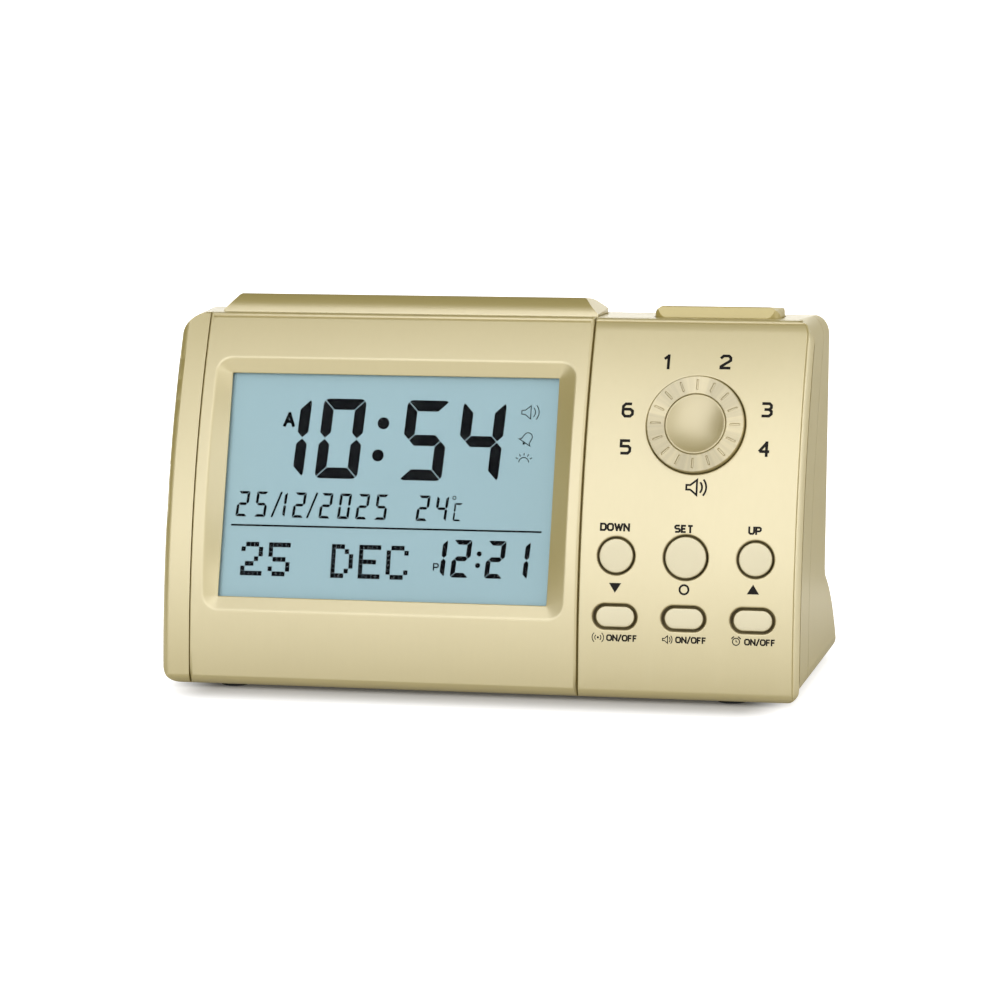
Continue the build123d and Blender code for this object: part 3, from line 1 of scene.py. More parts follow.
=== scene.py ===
"""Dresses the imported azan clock: face plates, dial, keys, readout, printed marks, finishes and studio."""
import json
import math

import bmesh
import bpy
import numpy as np
from mathutils import Matrix, Vector


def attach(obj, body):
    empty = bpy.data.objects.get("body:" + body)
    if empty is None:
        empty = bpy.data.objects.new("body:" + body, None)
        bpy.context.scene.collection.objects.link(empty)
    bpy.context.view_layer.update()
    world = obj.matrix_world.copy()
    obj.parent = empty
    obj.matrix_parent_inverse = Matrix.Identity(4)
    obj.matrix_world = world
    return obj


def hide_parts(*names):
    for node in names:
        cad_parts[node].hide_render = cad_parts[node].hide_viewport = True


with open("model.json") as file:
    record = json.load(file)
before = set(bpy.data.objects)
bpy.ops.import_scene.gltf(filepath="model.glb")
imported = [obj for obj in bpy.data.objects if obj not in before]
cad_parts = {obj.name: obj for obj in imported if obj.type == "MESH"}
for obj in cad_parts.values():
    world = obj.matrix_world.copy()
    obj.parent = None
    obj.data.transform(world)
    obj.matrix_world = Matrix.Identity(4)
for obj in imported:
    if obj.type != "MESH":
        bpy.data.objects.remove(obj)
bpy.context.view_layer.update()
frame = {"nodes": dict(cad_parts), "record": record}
NODES = frame["nodes"]

bl_info = {
    "name": "Azan clock",
    "version": (1, 0, 0),
    "blender": (4, 5, 0),
    "location": "View3D > Sidebar > Azan clock",
    "description": "Builds the looks of a desk azan clock around its packed solids",
    "category": "Object",
}

# ---- sizes, in metres
MM = 0.001
FACE_POINTS = ((-0.0309, 0.0), (-0.0214, 0.050), (-0.0009, 0.095))     # (y, z) on the curved face
UNDERSIDE = 0.001
CASE_TOP = 0.0945
TOP_REAR = (0.0242, 0.0928)
FRONT_EDGE_R = 0.0024
TOP_EDGE_R = 0.0005
PLATE = 0.0024                       # thickness of the face plates
PLATE_SPAN = (-0.0763, 0.026775)     # the display plate, left to right
PLATE_BORDER = 0.0012                # outer strip of the display plate that bends over its edge
PLATE_EDGE_R = 0.00028
CONTROL_SPAN = (0.027225, 0.084)     # the control plate, left to right
SIDE_BEVEL = 0.001
CORNER_R = (0.0036, 0.0045)          # the control plate's right corners, lower and upper
RIM_STEPS = np.array([0.9, 0.55, 0.42, 0.34, 0.28, 0.22, 0.16, 0.1, 0.04, 0.0]) * MM
RIM_GROOVE = 0.28 * MM

DISPLAY_LEAN = math.radians(19.5)
DISPLAY_ORIGIN = (-0.025325, -0.016633, 0.0516)
WINDOW_HALF = (0.043825, 0.02949)
WINDOW_SILL = 0.00035                # the frame's slope starts this far in front of the window's plane
FRAME_SPAN_X = (-0.0730, 0.0233)
FRAME_SPAN_Z = (0.0207, 0.0837)
LENS_SIZE = (0.0936, 0.0634, 0.00085)
LENS_BEVEL = 0.00015
SEGMENT_DEPTH = 0.00096              # the readout lies this far behind the window's plane
INK_LIFT = 0.00002                   # printed marks stand this far off the face

CELL_COLUMNS = (0.0286, 0.0456, 0.06345, 0.0792)     # cells of the control plate, left to right
CELL_ROWS = (0.0037, 0.0296, 0.0485, 0.0915)         # and upwards
DIAL_PLACE = (0.0555, 0.0694)        # x and z of the dial's middle on the face
DIAL_HOLE = 0.01282
KNOB_R = 0.0126
KNOB_BORE = 0.0079                   # the ring's inner radius, round the cap
CREST_R = 0.0082                     # the ring's top starts here
CAP_R = 0.00785
AXIS_GAP = 0.00001                   # turned surfaces end this far from their axis
TICKS = 16
TICK_SPAN = (0.0092, 0.0113)
TICK_HALF = 0.00025
TICK_DEPTH = 0.00025
RING_H = (0.0012, 0.0014)            # height of the ring at the cap and at its edge
DISH_H = (0.00025, 0.00112)          # height of the cap's dish in its middle and at its rim

KEYS_PLACE = (0.0546, 0.0296)
KEY_POSTS = ((-0.009, 0.0), (0.009, 0.0), (0.0, 0.0172), (0.0, -0.014))
ROUND_KEYS = {"down": (0.0366, 0.03715), "set": (0.0546, 0.03715), "up": (0.07255, 0.03715)}
ROUND_PADS = (0.00435, 0.00527, 0.00428)
ROUND_TOP = -0.00006
ROUND_GAP = 0.00055
OVAL_KEYS = {"left": 0.03665, "middle": 0.05445, "right": 0.0722}
OVAL_Z = 0.022
OVAL_PAD = (0.00235, 0.00265)        # half length of the middle line, and radius
OVAL_HOLE = (0.00255, 0.0033)
OVAL_TOP = -0.00071
HOLE_CHAMFER = 0.0002


# ---- arrays of points
def points_of(*coordinates):
    """Coordinates broadcast to one shape and put side by side."""
    return np.stack(np.broadcast_arrays(*coordinates), axis=-1)


def unit(vectors):
    """Vectors scaled to length 1."""
    return vectors / np.linalg.norm(vectors, axis=-1, keepdims=True)


def circle(x, y, radius, turn):
    """Points of a circle at the angles turn."""
    return points_of(x + radius * np.cos(turn), y + radius * np.sin(turn))


def full_turn(steps):
    """Angles of a whole turn in even steps, the last one left out."""
    return np.linspace(0, 2 * math.pi, steps + 1)[:-1]


def smooth(t):
    """Smooth step 3 t^2 - 2 t^3 of a share that is held between 0 and 1."""
    t = np.clip(t, 0, 1)
    return t * t * (3 - 2 * t)


def bend(a, b, c, steps):
    """Rounded corner from a to c that leaves a and reaches c along the lines to b (a square curve)."""
    a, b, c = (np.asarray(point, float) for point in (a, b, c))
    t = np.linspace(0, 1, steps + 1).reshape((-1,) + (1,) * a.ndim)
    return (1 - t) ** 2 * a + 2 * t * (1 - t) * b + t ** 2 * c


# ---- the curved face
def circle_through(points):
    """Centre and radius of the circle through three (y, z) points."""
    points = np.array(points)
    squares = np.sum(points ** 2, axis=1)
    y, z = np.linalg.solve(2 * (points[1:] - points[0]), squares[1:] - squares[0])
    return float(y), float(z), math.hypot(points[0, 0] - y, points[0, 1] - z)


AXIS_Y, AXIS_Z, FACE_R = circle_through(FACE_POINTS)
AXIS = np.array([AXIS_Y, AXIS_Z])


def face_y(z, depth=0.0):
    """y of the surface that lies depth behind the face, at height z."""
    return AXIS_Y - np.sqrt((FACE_R - depth) ** 2 - (z - AXIS_Z) ** 2)


def on_face(x, rise, z_from, lift):
    """Points of the face: rise is an arc length upwards from height z_from, lift is along the normal."""
    lean = math.asin((z_from - AXIS_Z) / FACE_R) + np.asarray(rise) / FACE_R
    reach = FACE_R + lift
    return points_of(x, AXIS_Y - reach * np.cos(lean), AXIS_Z + reach * np.sin(lean))


def plane(origin, lean):
    """Origin, right, up and outward vectors of a plane that leans back by an angle."""
    up, out = (0, math.sin(lean), math.cos(lean)), (0, -math.cos(lean), math.sin(lean))
    return [np.array(vector, float) for vector in (origin, (1, 0, 0), up, out)]


def touching_plane(x, z):
    """Plane that touches the face at (x, z)."""
    lean = math.asin((z - AXIS_Z) / FACE_R)
    return plane((x, AXIS_Y - FACE_R * math.cos(lean), AXIS_Z + FACE_R * math.sin(lean)), lean)


DISPLAY = plane(DISPLAY_ORIGIN, DISPLAY_LEAN)
DIAL = touching_plane(*DIAL_PLACE)
KEYS = touching_plane(*KEYS_PLACE)


def in_frame(place, right, up, out=0.0):
    """Points right, up and out of a plane's own frame, in the clock's frame."""
    origin, x_dir, y_dir, z_dir = place
    return (origin + np.multiply.outer(right, x_dir) + np.multiply.outer(up, y_dir)
            + np.multiply.outer(np.broadcast_to(out, np.shape(right)), z_dir))


def lathe(place, profile, turn, at=(0.0, 0.0)):
    """Rings turned about a plane's normal: each (radius, height) of the profile gives one circle."""
    profile = np.asarray(profile, float)
    rings = circle(*at, profile[:, :1], turn)
    return in_frame(place, rings[..., 0], rings[..., 1], profile[:, 1:2])


# ---- meshes from arrays
def placed(name, data):
    """New object with that data, in the scene."""
    item = bpy.data.objects.new(name, data)
    bpy.context.scene.collection.objects.link(item)
    return item


def add_piece(name, points, faces, material, body, slot, sharp=35.0, closed=True):
    """One mesh object from a point array and lists of face indices, riding on body. In a closed piece the
    points that coincide are joined and the faces turned outwards; edges bent by more than sharp degrees
    stay sharp."""
    mesh = bpy.data.meshes.new(name)
    mesh.from_pydata(np.asarray(points, float).reshape(-1, 3), [], [list(map(int, f)) for f in faces])
    if closed:
        work = bmesh.new()
        work.from_mesh(mesh)
        bmesh.ops.remove_doubles(work, verts=work.verts, dist=3e-7)
        bmesh.ops.recalc_face_normals(work, faces=work.faces)
        work.to_mesh(mesh)
        work.free()
    mesh.polygons.foreach_set("use_smooth", np.ones(len(mesh.polygons), bool))
    mesh.set_sharp_from_angle(angle=math.radians(sharp))
    mesh.materials.append(material)
    piece = placed(name, mesh)
    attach(piece, body)
    return piece


def flat_piece(name, groups, finish, slot):
    """One sheet of many polygons. A group is its polygons and the function place(right, up) that lays
    them in the clock."""
    points, faces, start = [], [], 0
    for shapes, place in groups:
        for shape in shapes:
            points.append(place(*shape.T))
            faces.append(np.arange(start, start + len(shape)))
            start += len(shape)
    return add_piece(name, np.concatenate(points), faces, FINISH[finish], "case", slot, closed=False)


def grid_faces(rows, columns, wrap_rows=False, wrap_columns=False):
    """Quads of a rows by columns grid of points, joined to their neighbours, and round the ends where
    wrapped."""
    r = np.arange(rows if wrap_rows else rows - 1)[:, None]
    c = np.arange(columns if wrap_columns else columns - 1)[None, :]
    r2, c2 = (r + 1) % rows, (c + 1) % columns
    quads = points_of(r * columns + c, r * columns + c2, r2 * columns + c2, r2 * columns + c)
    return quads.reshape(-1, 4)


def stacked(parts):
    """Points and faces of several (points, faces) parts, put in one list."""
    starts = np.cumsum([0] + [len(points) for points, _ in parts])
    faces = [face + start for (_, group), start in zip(parts, starts) for face in group]
    return np.concatenate([points for points, _ in parts]), faces


def ring_stack(rings, capped=True, wrapped=False):
    """Points and faces of a skin through rings of equal length; its ends are closed by flat faces, or
    joined to each other if it is wrapped."""
    grid = np.stack(rings)
    rows, columns = grid.shape[:2]
    faces = list(grid_faces(rows, columns, wrapped, True))
    if capped and not wrapped:
        faces += [np.arange(columns)[::-1], np.arange(columns) + (rows - 1) * columns]
    return grid.reshape(-1, 3), faces


# ---- outlines
UPRIGHT_STEPS, LEVEL_STEPS, CORNER_STEPS = 36, 48, 10


def rounded_outline(x0, x1, y0, y1, radius):
    """Counterclockwise outline of a rectangle with round corners: straight runs and quarter turns,
    always with the same number of points, so that two outlines can be joined point by point."""
    quarter = np.linspace(0, math.pi / 2, CORNER_STEPS + 1)
    right, left, low, high = x1 - radius, x0 + radius, y0 + radius, y1 - radius
    arcs = [circle(x, y, radius, quarter + (k - 1) * math.pi / 2)
            for k, (x, y) in enumerate(((right, low), (right, high), (left, high), (left, low)))]
    runs = []
    for k, arc in enumerate(arcs):
        t = np.linspace(0, 1, (UPRIGHT_STEPS, LEVEL_STEPS)[k % 2] + 1)[1:-1, None]
        runs += [arc, arc[-1] + t * (arcs[(k + 1) % 4][0] - arc[-1])]
    return np.concatenate(runs)


def slot_outline(half_width, radius):
    """Outline of a slot: a segment of that half length, and everything within radius of it."""
    t = np.linspace(0, math.pi, 41)
    right = points_of(half_width + radius * np.sin(t), -radius * np.cos(t))
    return np.concatenate([right, -right])


def slot_reach(rays, half_width, radius):
    """Distance from a slot's middle to its outline along unit vectors: to the straight side, or to the
    round end where the straight side has ended."""
    across, along = np.abs(rays[:, 1]), np.abs(rays[:, 0])
    side = radius / np.maximum(across, 1e-12)
    end = half_width * along + np.sqrt(np.maximum(radius ** 2 - (half_width * across) ** 2, 0.0))
    return np.where(side * along <= half_width, side, end)


# ---- node trees
GROUPS = {}
FINISH = {}
# painted shade: the dark brown laid into the key holes, the dial's gap and round the keys, where little
# light falls
RECESS_SHADE_BROWN = (0.28, 0.21, 0.055)
FLAKE_METAL = 0.15
# box round the keys and the dial within which the painted recess shade may fall
HOLE_LIMITS = ((0, "GREATER_THAN", 0.0285), (0, "LESS_THAN", 0.0812), (2, "GREATER_THAN", 0.008),
               (2, "LESS_THAN", 0.0915))


def feed(tree, socket, value):
    """Links a socket to another one, or sets it."""
    if isinstance(value, bpy.types.NodeSocket):
        tree.links.new(value, socket)
    elif socket.type == "RGBA":
        socket.default_value = (*value, 1.0)
    else:
        socket.default_value = value


def supply(tree, node, **values):
    """Sets a node's properties and feeds its inputs by their names."""
    for key, value in values.items():
        if hasattr(node, key):
            setattr(node, key, value)
        else:
            feed(tree, node.inputs[key.replace("_", " ")], value)
    return node


def put(tree, kind, *inputs, **values):
    """Adds a node; inputs are fed in their order, values by their names."""
    node = supply(tree, tree.nodes.new(f"ShaderNode{kind}"), **values)
    for socket, value in zip(node.inputs, inputs):
        feed(tree, socket, value)
    return node


def maths(tree, operation, a, b, clamp=False):
    """Sum, product or the like of two sockets or numbers."""
    return put(tree, "Math", a, b, operation=operation, use_clamp=clamp).outputs[0]


def vector_maths(tree, operation, *vectors):
    """Outputs of a vector operation on sockets or constant vectors."""
    return put(tree, "VectorMath", *vectors, operation=operation).outputs


def weighted(tree, a, b, share):
    """Share of a and the rest of b, added and held between 0 and 1."""
    first, second = maths(tree, "MULTIPLY", a, share), maths(tree, "MULTIPLY", b, 1 - share)
    return maths(tree, "ADD", first, second, clamp=True)


def shade(tree, value, low, high):
    """Maps a 0 to 1 socket onto the span low to high."""
    return put(tree, "MapRange", value, To_Min=low, To_Max=high).outputs[0]


def noise(tree, vector, scale, detail=2.0, rough=0.5):
    """Noise at scale per unit of the vector."""
    return put(tree, "TexNoise", Vector=vector, Scale=scale, Detail=detail, Roughness=rough).outputs[0]


def mix_colours(tree, factor, a, b):
    """Mix of two colours or colour sockets."""
    node = put(tree, "Mix", factor, data_type="RGBA")
    feed(tree, node.inputs[6], a)
    feed(tree, node.inputs[7], b)
    return node.outputs[2]


def two_tones(tree, tone, colour, spread):
    """Colour that runs with the tone from darker by the share spread to lighter by it."""
    dark, light = (tuple(min(1.0, c * factor) for c in colour) for factor in (1 - spread, 1 + spread))
    return mix_colours(tree, tone, dark, light)


def bump(tree, height, strength, distance):
    """Normal that follows a height."""
    return put(tree, "Bump", Height=height, Strength=strength, Distance=distance).outputs["Normal"]


def object_place(tree):
    """Coordinates of the shaded point, in metres."""
    return put(tree, "TexCoord").outputs["Object"]


def new_material(name, **settings):
    """Material with one Principled shader whose plain sockets are set."""
    material = bpy.data.materials.new(name)
    material.use_nodes = True
    tree = material.node_tree
    return material, tree, supply(tree, tree.nodes["Principled BSDF"], **settings)


# ---- shared effects
def node_group(name, inputs, outputs):
    """Empty node group that takes a vector and the named numbers and puts out named numbers; it comes
    with its sockets inside."""
    group = bpy.data.node_groups.new(name, "ShaderNodeTree")
    group.interface.new_socket("Vector", in_out="INPUT", socket_type="NodeSocketVector")
    for label, default in inputs.items():
        socket = group.interface.new_socket(label, in_out="INPUT", socket_type="NodeSocketFloat")
        socket.default_value = default
    for label in outputs:
        group.interface.new_socket(label, in_out="OUTPUT", socket_type="NodeSocketFloat")
    given, sink = group.nodes.new("NodeGroupInput"), group.nodes.new("NodeGroupOutput")
    return group, given.outputs, sink


def place_group(tree, kind, **values):
    """Puts a shared effect in a tree with its own values; gives the effect's outputs."""
    return put(tree, "Group", node_tree=GROUPS[kind], **values).outputs


def paint_grain_group():
    """Fine metal-flake grain with soft cloudy patches, and streaks along one axis.
    The grain is noise at Fine per metre, the clouds are noise at Coarse per metre, and the streaks are
    noise on a vector squeezed across and stretched along Z."""
    group, given, sink = node_group("Paint grain", {"Fine": 5200.0, "Coarse": 26.0, "Streaks": 0.4},
                                    ("Grain", "Clouds", "Height"))
    stretched = put(group, "Mapping", Vector=given["Vector"], Scale=(900.0, 900.0, 14.0)).outputs[0]
    streak = maths(group, "SUBTRACT", noise(group, stretched, 1.0), 0.5)
    grain = maths(group, "ADD", noise(group, given["Vector"], given["Fine"], 3.0, 0.65),
                  maths(group, "MULTIPLY", streak, given["Streaks"]))
    supply(group, sink, Grain=grain, Clouds=noise(group, given["Vector"], given["Coarse"]), Height=grain)
    return group


def fine_grain_group():
    """Even grain of a moulded or pressed surface: the height is noise at Scale per metre, and the tone is
    noise twenty times as wide."""
    group, given, sink = node_group("Moulded grain", {"Scale": 1500.0}, ("Tone", "Height"))
    wide = maths(group, "MULTIPLY", given["Scale"], 0.05)
    supply(group, sink, Tone=noise(group, given["Vector"], wide, 3.0),
           Height=noise(group, given["Vector"], given["Scale"], 2.0, 0.6))
    return group


def spun_group():
    """Streaks of a turned disc: noise read only from the direction away from the disc's axis, so that it
    changes round the disc and not along a radius. Wide sectors and fine lines are added."""
    group, given, sink = node_group("Spun streaks", {"Fineness": 9.0}, ("Streak",))
    flat = vector_maths(group, "MULTIPLY", given["Vector"], (1.0, 1.0, 0.0))[0]
    away = vector_maths(group, "NORMALIZE", flat)[0]
    sectors, lines = noise(group, away, 1.6, 0.0), noise(group, away, given["Fineness"], 4.0, 0.7)
    spread = put(group, "MapRange", weighted(group, sectors, lines, 0.5), From_Min=0.34, From_Max=0.66)
    supply(group, sink, Streak=spread.outputs[0])
    return group


def recess_shade_group():
    """Mask of the painted shade in the key holes and the dial's gap: 0 down to the depth From behind the
    curved face and 1 from the depth To on, where the depth is the face's radius less the distance to its
    axis. It stays 0 at the plates' own edges."""
    group, given, sink = node_group("Recess", {"From": 0.0001, "To": 0.0005}, ("Mask",))
    across = vector_maths(group, "MULTIPLY_ADD", given["Vector"], (0.0, 1.0, 1.0), (0.0, -AXIS_Y, -AXIS_Z))
    depth = maths(group, "SUBTRACT", FACE_R, vector_maths(group, "LENGTH", across[0])["Value"])
    mask = put(group, "MapRange", depth, From_Min=given["From"], From_Max=given["To"]).outputs[0]
    place = put(group, "SeparateXYZ", given["Vector"]).outputs
    for axis, operation, limit in HOLE_LIMITS:
        mask = maths(group, "MULTIPLY", mask, maths(group, operation, place[axis], limit))
    supply(group, sink, Mask=mask)
    return group


# ---- finishes
def spun_gold(name, colour, rough, spread, sheen):
    """Anodised gold turned on a lathe: spun streaks round the dial's axis move its tone and gloss."""
    material, tree, shader = new_material(name, Metallic=FLAKE_METAL, IOR=sheen)
    place = object_place(tree)
    centred = put(tree, "Mapping", vector_type="TEXTURE", Vector=place, Location=tuple(DIAL[0]),
                  Rotation=(math.atan2(-DIAL[3][1], DIAL[3][2]), 0.0, 0.0)).outputs[0]
    grain = place_group(tree, "grain", Vector=place, Streaks=0.0)
    tone = weighted(tree, grain["Grain"], place_group(tree, "spun", Vector=centred)["Streak"], 0.2)
    supply(tree, shader, Base_Color=two_tones(tree, tone, colour, spread),
           Roughness=shade(tree, tone, rough + 0.09, rough - 0.06),
           Normal=bump(tree, grain["Height"], 0.3, 0.000006))
    return material


def gold_paint(name, colour, rough, streaks=0.3, sheen=2.55, recess=None):
    """Satin champagne paint: flake grain and clouds move its tone and gloss a little. The index of
    refraction is that of mica flakes in lacquer, so that the sheen is paler than the pigment. With a
    recess, a painted shade turns the paint dark brown and rougher between those two depths behind the
    face, where the holes and gaps get little light."""
    material, tree, shader = new_material(name, Metallic=FLAKE_METAL, IOR=sheen)
    place = object_place(tree)
    grain = place_group(tree, "grain", Vector=place, Streaks=streaks)
    tone = weighted(tree, grain["Grain"], grain["Clouds"], 0.6)
    paint = two_tones(tree, tone, colour, 0.05)
    gloss = shade(tree, tone, rough + 0.05, rough - 0.05)
    # painted shade: deeper than the face, the paint turns dark brown and rougher
    if recess:
        shaded = place_group(tree, "recess", Vector=place, From=recess[0], To=recess[1])["Mask"]
        paint = mix_colours(tree, shaded, paint, RECESS_SHADE_BROWN)
        gloss = maths(tree, "ADD", gloss, maths(tree, "MULTIPLY", shaded, 0.5), clamp=True)
    supply(tree, shader, Base_Color=paint, Roughness=gloss,
           Normal=bump(tree, grain["Height"], 0.35, 0.000004))
    return material


def moulded(name, colour, rough, scale=1500.0, spread=0.12, strength=0.25, **settings):
    """Plain moulded, pressed or plated surface with an even grain."""
    material, tree, shader = new_material(name, **settings)
    grain = place_group(tree, "moulded", Vector=object_place(tree), Scale=scale)
    supply(tree, shader, Base_Color=two_tones(tree, grain["Tone"], colour, spread),
           Roughness=shade(tree, grain["Tone"], rough + 0.06, rough - 0.06),
           Normal=bump(tree, grain["Height"], strength, 0.00002))
    return material


def lens_material():
    """Clear lens with an anti-glare coat, so its index is low; it casts no shadow."""
    material, tree, shader = new_material("Clear lens", Base_Color=(0.97, 0.985, 0.99), Roughness=0.0,
                                          Transmission_Weight=1.0, IOR=1.08)
    path = put(tree, "LightPath").outputs
    passing = maths(tree, "ADD", path["Is Shadow Ray"], path["Is Diffuse Ray"], clamp=True)
    mix = put(tree, "MixShader", passing, shader.outputs[0], put(tree, "BsdfTransparent").outputs[0])
    supply(tree, tree.nodes["Material Output"], Surface=mix.outputs[0])
    return material


PLAIN_FINISHES = {      # slot: material's name, colour, roughness, and what else it sets
    "light_guide": ("Light guide", (0.86, 0.89, 0.9), 0.4, {"spread": 0.03, "Transmission_Weight": 0.4}),
    "dark_plastic": ("Dark plastic", (0.03, 0.03, 0.028), 0.55, {}),
    "board": ("Board lacquer", (0.012, 0.085, 0.03), 0.3, {"scale": 700.0, "spread": 0.25}),
    "chip": ("Chip epoxy", (0.012, 0.012, 0.014), 0.5, {"scale": 2500.0}),
    "key_rubber": ("Key rubber", (0.06, 0.065, 0.07), 0.7, {}),
    "contact_strip": ("Contact strip", (0.55, 0.12, 0.14), 0.6, {}),
    "foot_rubber": ("Foot rubber", (0.015, 0.015, 0.015), 0.75, {"scale": 2200.0, "strength": 0.5}),
    "steel": ("Nickel plate", (0.55, 0.55, 0.53), 0.3, {"Metallic": 1.0}),
    "spring_steel": ("Spring wire", (0.6, 0.6, 0.6), 0.22, {"Metallic": 1.0}),
    "brass": ("Brass", (0.55, 0.4, 0.16), 0.32, {"Metallic": 1.0}),
    "can": ("Drawn can", (0.62, 0.63, 0.64), 0.3, {"Metallic": 1.0}),
    "cell_jacket": ("Cell jacket", (0.03, 0.035, 0.045), 0.28, {"spread": 0.2}),
    "magnet": ("Magnet", (0.05, 0.05, 0.052), 0.6, {"Metallic": 0.6}),
    "cone_paper": ("Cone paper", (0.014, 0.014, 0.014), 0.85, {"scale": 1800.0, "strength": 0.6}),
}


def make_finishes(colours):
    """Builds the node groups and every material of the clock."""
    GROUPS.update(grain=paint_grain_group(), moulded=fine_grain_group(), spun=spun_group(),
                  recess=recess_shade_group())
    FINISH.update(
        gold_case=gold_paint("Housing gold", colours.case_gold, 0.36),
        gold_panel=gold_paint("Panel gold", colours.panel_gold, 0.38, streaks=0.5),
        # the control plate's paint, with painted shade in its key holes and the dial's gap
        gold_control=gold_paint("Control gold", colours.panel_gold, 0.38, streaks=0.5,
                                recess=(0.00002, 0.0002)),
        gold_dial=spun_gold("Dial gold", colours.dial_gold, 0.36, 0.26, 2.4),
        gold_cap=gold_paint("Cap gold", colours.dial_gold, 0.3, streaks=0.0, sheen=2.15),
        gold_light=gold_paint("Light button gold", colours.case_gold, 0.4, sheen=1.85),
        # the keys' paint, with painted shade on their sides below the face
        gold_keys=gold_paint("Key gold", colours.key_gold, 0.4, streaks=0.1, recess=(0.001, 0.0016)),
        clear_lens=lens_material(),
        display_face=moulded("Liquid crystal", colours.display, 0.7, scale=900.0, spread=0.02,
                             strength=0.05, Specular_IOR_Level=0.1),
        segment_ink=moulded("Segment ink", colours.segments, 0.7, spread=0.05, strength=0.05,
                            Specular_IOR_Level=0.0),
        mark_ink=moulded("Printed ink", colours.marks, 0.5, scale=3000.0, spread=0.15,
                         Specular_IOR_Level=0.12))
    for slot, (name, colour, rough, more) in PLAIN_FINISHES.items():
        FINISH[slot] = moulded(name, colour, rough, **more)


def finish_nodes(*names, finish=None):
    """Gives CAD nodes the named finish, or that of their own material slot."""
    slots = {row["node"]: row["material_slot"] for row in frame["record"]["subparts"]}
    for name in names:
        mesh = NODES[name].data
        mesh.materials.clear()
        mesh.materials.append(FINISH[finish or slots[name]])
        mesh.polygons.foreach_set("material_index", np.zeros(len(mesh.polygons), int))


# ---- settings
def length(name, description, default):
    """Property that holds a length."""
    return bpy.props.FloatProperty(name=name, description=description, default=default, unit="LENGTH",
                                   subtype="DISTANCE")


def colour(name, description, default):
    """Property that holds a colour."""
    return bpy.props.FloatVectorProperty(name=name, description=description, default=default,
                                         subtype="COLOR")


def angle(name, description, degrees):
    """Property that holds an angle."""
    return bpy.props.FloatProperty(name=name, description=description, default=math.radians(degrees),
                                   subtype="ANGLE")


def level(name, description, default):
    """Property that holds a plain number."""
    return bpy.props.FloatProperty(name=name, description=description, default=default)


class ClockSizes(bpy.types.PropertyGroup):
    """Sizes of the dressed pieces."""
    frame_corner: length("Frame corner", "Corner radius of the sloped frame around the window", 0.0042)
    frame_lip: length("Frame lip", "Rounding where the sloped frame meets the face", 0.00045)
    digit_height: length("Digit height", "Height of the large time digits", 0.02125)
    mark_height: length("Mark height", "Height of the printed capitals over the round keys", 0.0021)


class ClockColours(bpy.types.PropertyGroup):
    """Colours of the finishes."""
    case_gold: colour("Housing gold", "Paint of the housings", (0.46, 0.372, 0.118))
    panel_gold: colour("Panel gold", "Paint of the two face plates", (0.487, 0.398, 0.146))
    dial_gold: colour("Dial gold", "Anodised dial", (0.38, 0.305, 0.11))
    key_gold: colour("Key gold", "Pale paint of the keys", (0.47, 0.40, 0.185))
    display: colour("Display", "Blank liquid crystal", (0.395, 0.577, 0.632))
    segments: colour("Segments", "Dark liquid crystal", (0.003, 0.0035, 0.0045))
    marks: colour("Marks", "Ink of the printed marks", (0.008, 0.006, 0.004))


class ClockStudio(bpy.types.PropertyGroup):
    """Camera and lamps."""
    azimuth: angle("Azimuth", "Camera's turn round the clock", 13.9)
    elevation: angle("Elevation", "Camera's height angle", 10.7)
    roll: angle("Roll", "Camera's turn about its line of sight", -1.2)
    distance: length("Distance", "Camera to the middle of the clock", 1.134)
    focal: level("Focal length", "Lens on a 36 mm sensor, in millimetres", 159.41)
    key_power: level("Key lamp", "Power of the large front lamp in watts", 22.5)
    side_power: level("Side lamp", "Power of the right side lamp in watts", 13.5)
    top_power: level("Top lamp", "Power of the lamp overhead in watts", 5.0)
    rear_power: level("Rear lamp", "Power of the lamp behind the clock in watts", 13.0)
    card_power: level("Right card", "Power of the card that only reflections see, in watts", 5.5)
    sky: level("Sky", "Level of the plain light from all sides", 0.3)


# ---- stage
STAGE_TARGET = (0.0055093, -0.0209, 0.0499772)
LAMP_TARGET = (0.0, -0.015, 0.05)
LAMPS = (       # name, place, width and height, setting of its power
    ("Key lamp", (-0.55, -1.76, 0.95), (1.8, 1.5), "key_power"),
    ("Side lamp", (1.75, 0.2, 0.5), (1.9, 1.0), "side_power"),
    ("Rear lamp", (-0.3, 1.8, 0.7), (1.8, 1.2), "rear_power"),
    ("Top lamp", (0.0, -0.1, 1.4), (1.6, 1.6), "top_power"),
    ("Right card", (1.05, -1.5, 1.0), (0.8, 1.0), "card_power"),
)
DARK = 0.02
FLAGS = (       # name, place, width and height, tone, target
    ("Left flag", (-1.15, -0.3, 0.45), (2.4, 1.6), DARK, LAMP_TARGET),
    ("Top flag", (0.0, 1.05, 1.25), (3.0, 1.8), DARK, LAMP_TARGET),
    ("Overhead flag", (0.0, -0.2, 1.33), (3.0, 1.1), DARK, LAMP_TARGET),
    ("Side flag", (0.4, 0.12, 0.35), (0.62, 0.7), 0.85, (0.4, -1.0, 0.35)),
)
FOOTPRINT_HALF = (0.069, 0.031, 0.0)
FLOOR_RINGS = np.array([0.0, 0.3, 1.0, 4.0])
# Near the clock the glow is low: that paints a darker contact shadow round its foot on top of the lamps'
# real shadow, seen directly and in reflections of the floor.
FLOOR_GLOW = (  # kind of ray, distance from the clock of the full glow, glow under the clock
    ("Is Camera Ray", 0.02, 0.04),
    ("Is Glossy Ray", 0.15, 0.08),
    ("Is Transmission Ray", 0.02, 0.04),
)


def aim(location, target):
    """Rotation that points an object's -Z axis from location to target."""
    return (Vector(target) - Vector(location)).to_track_quat("-Z", "Y").to_matrix().to_4x4()


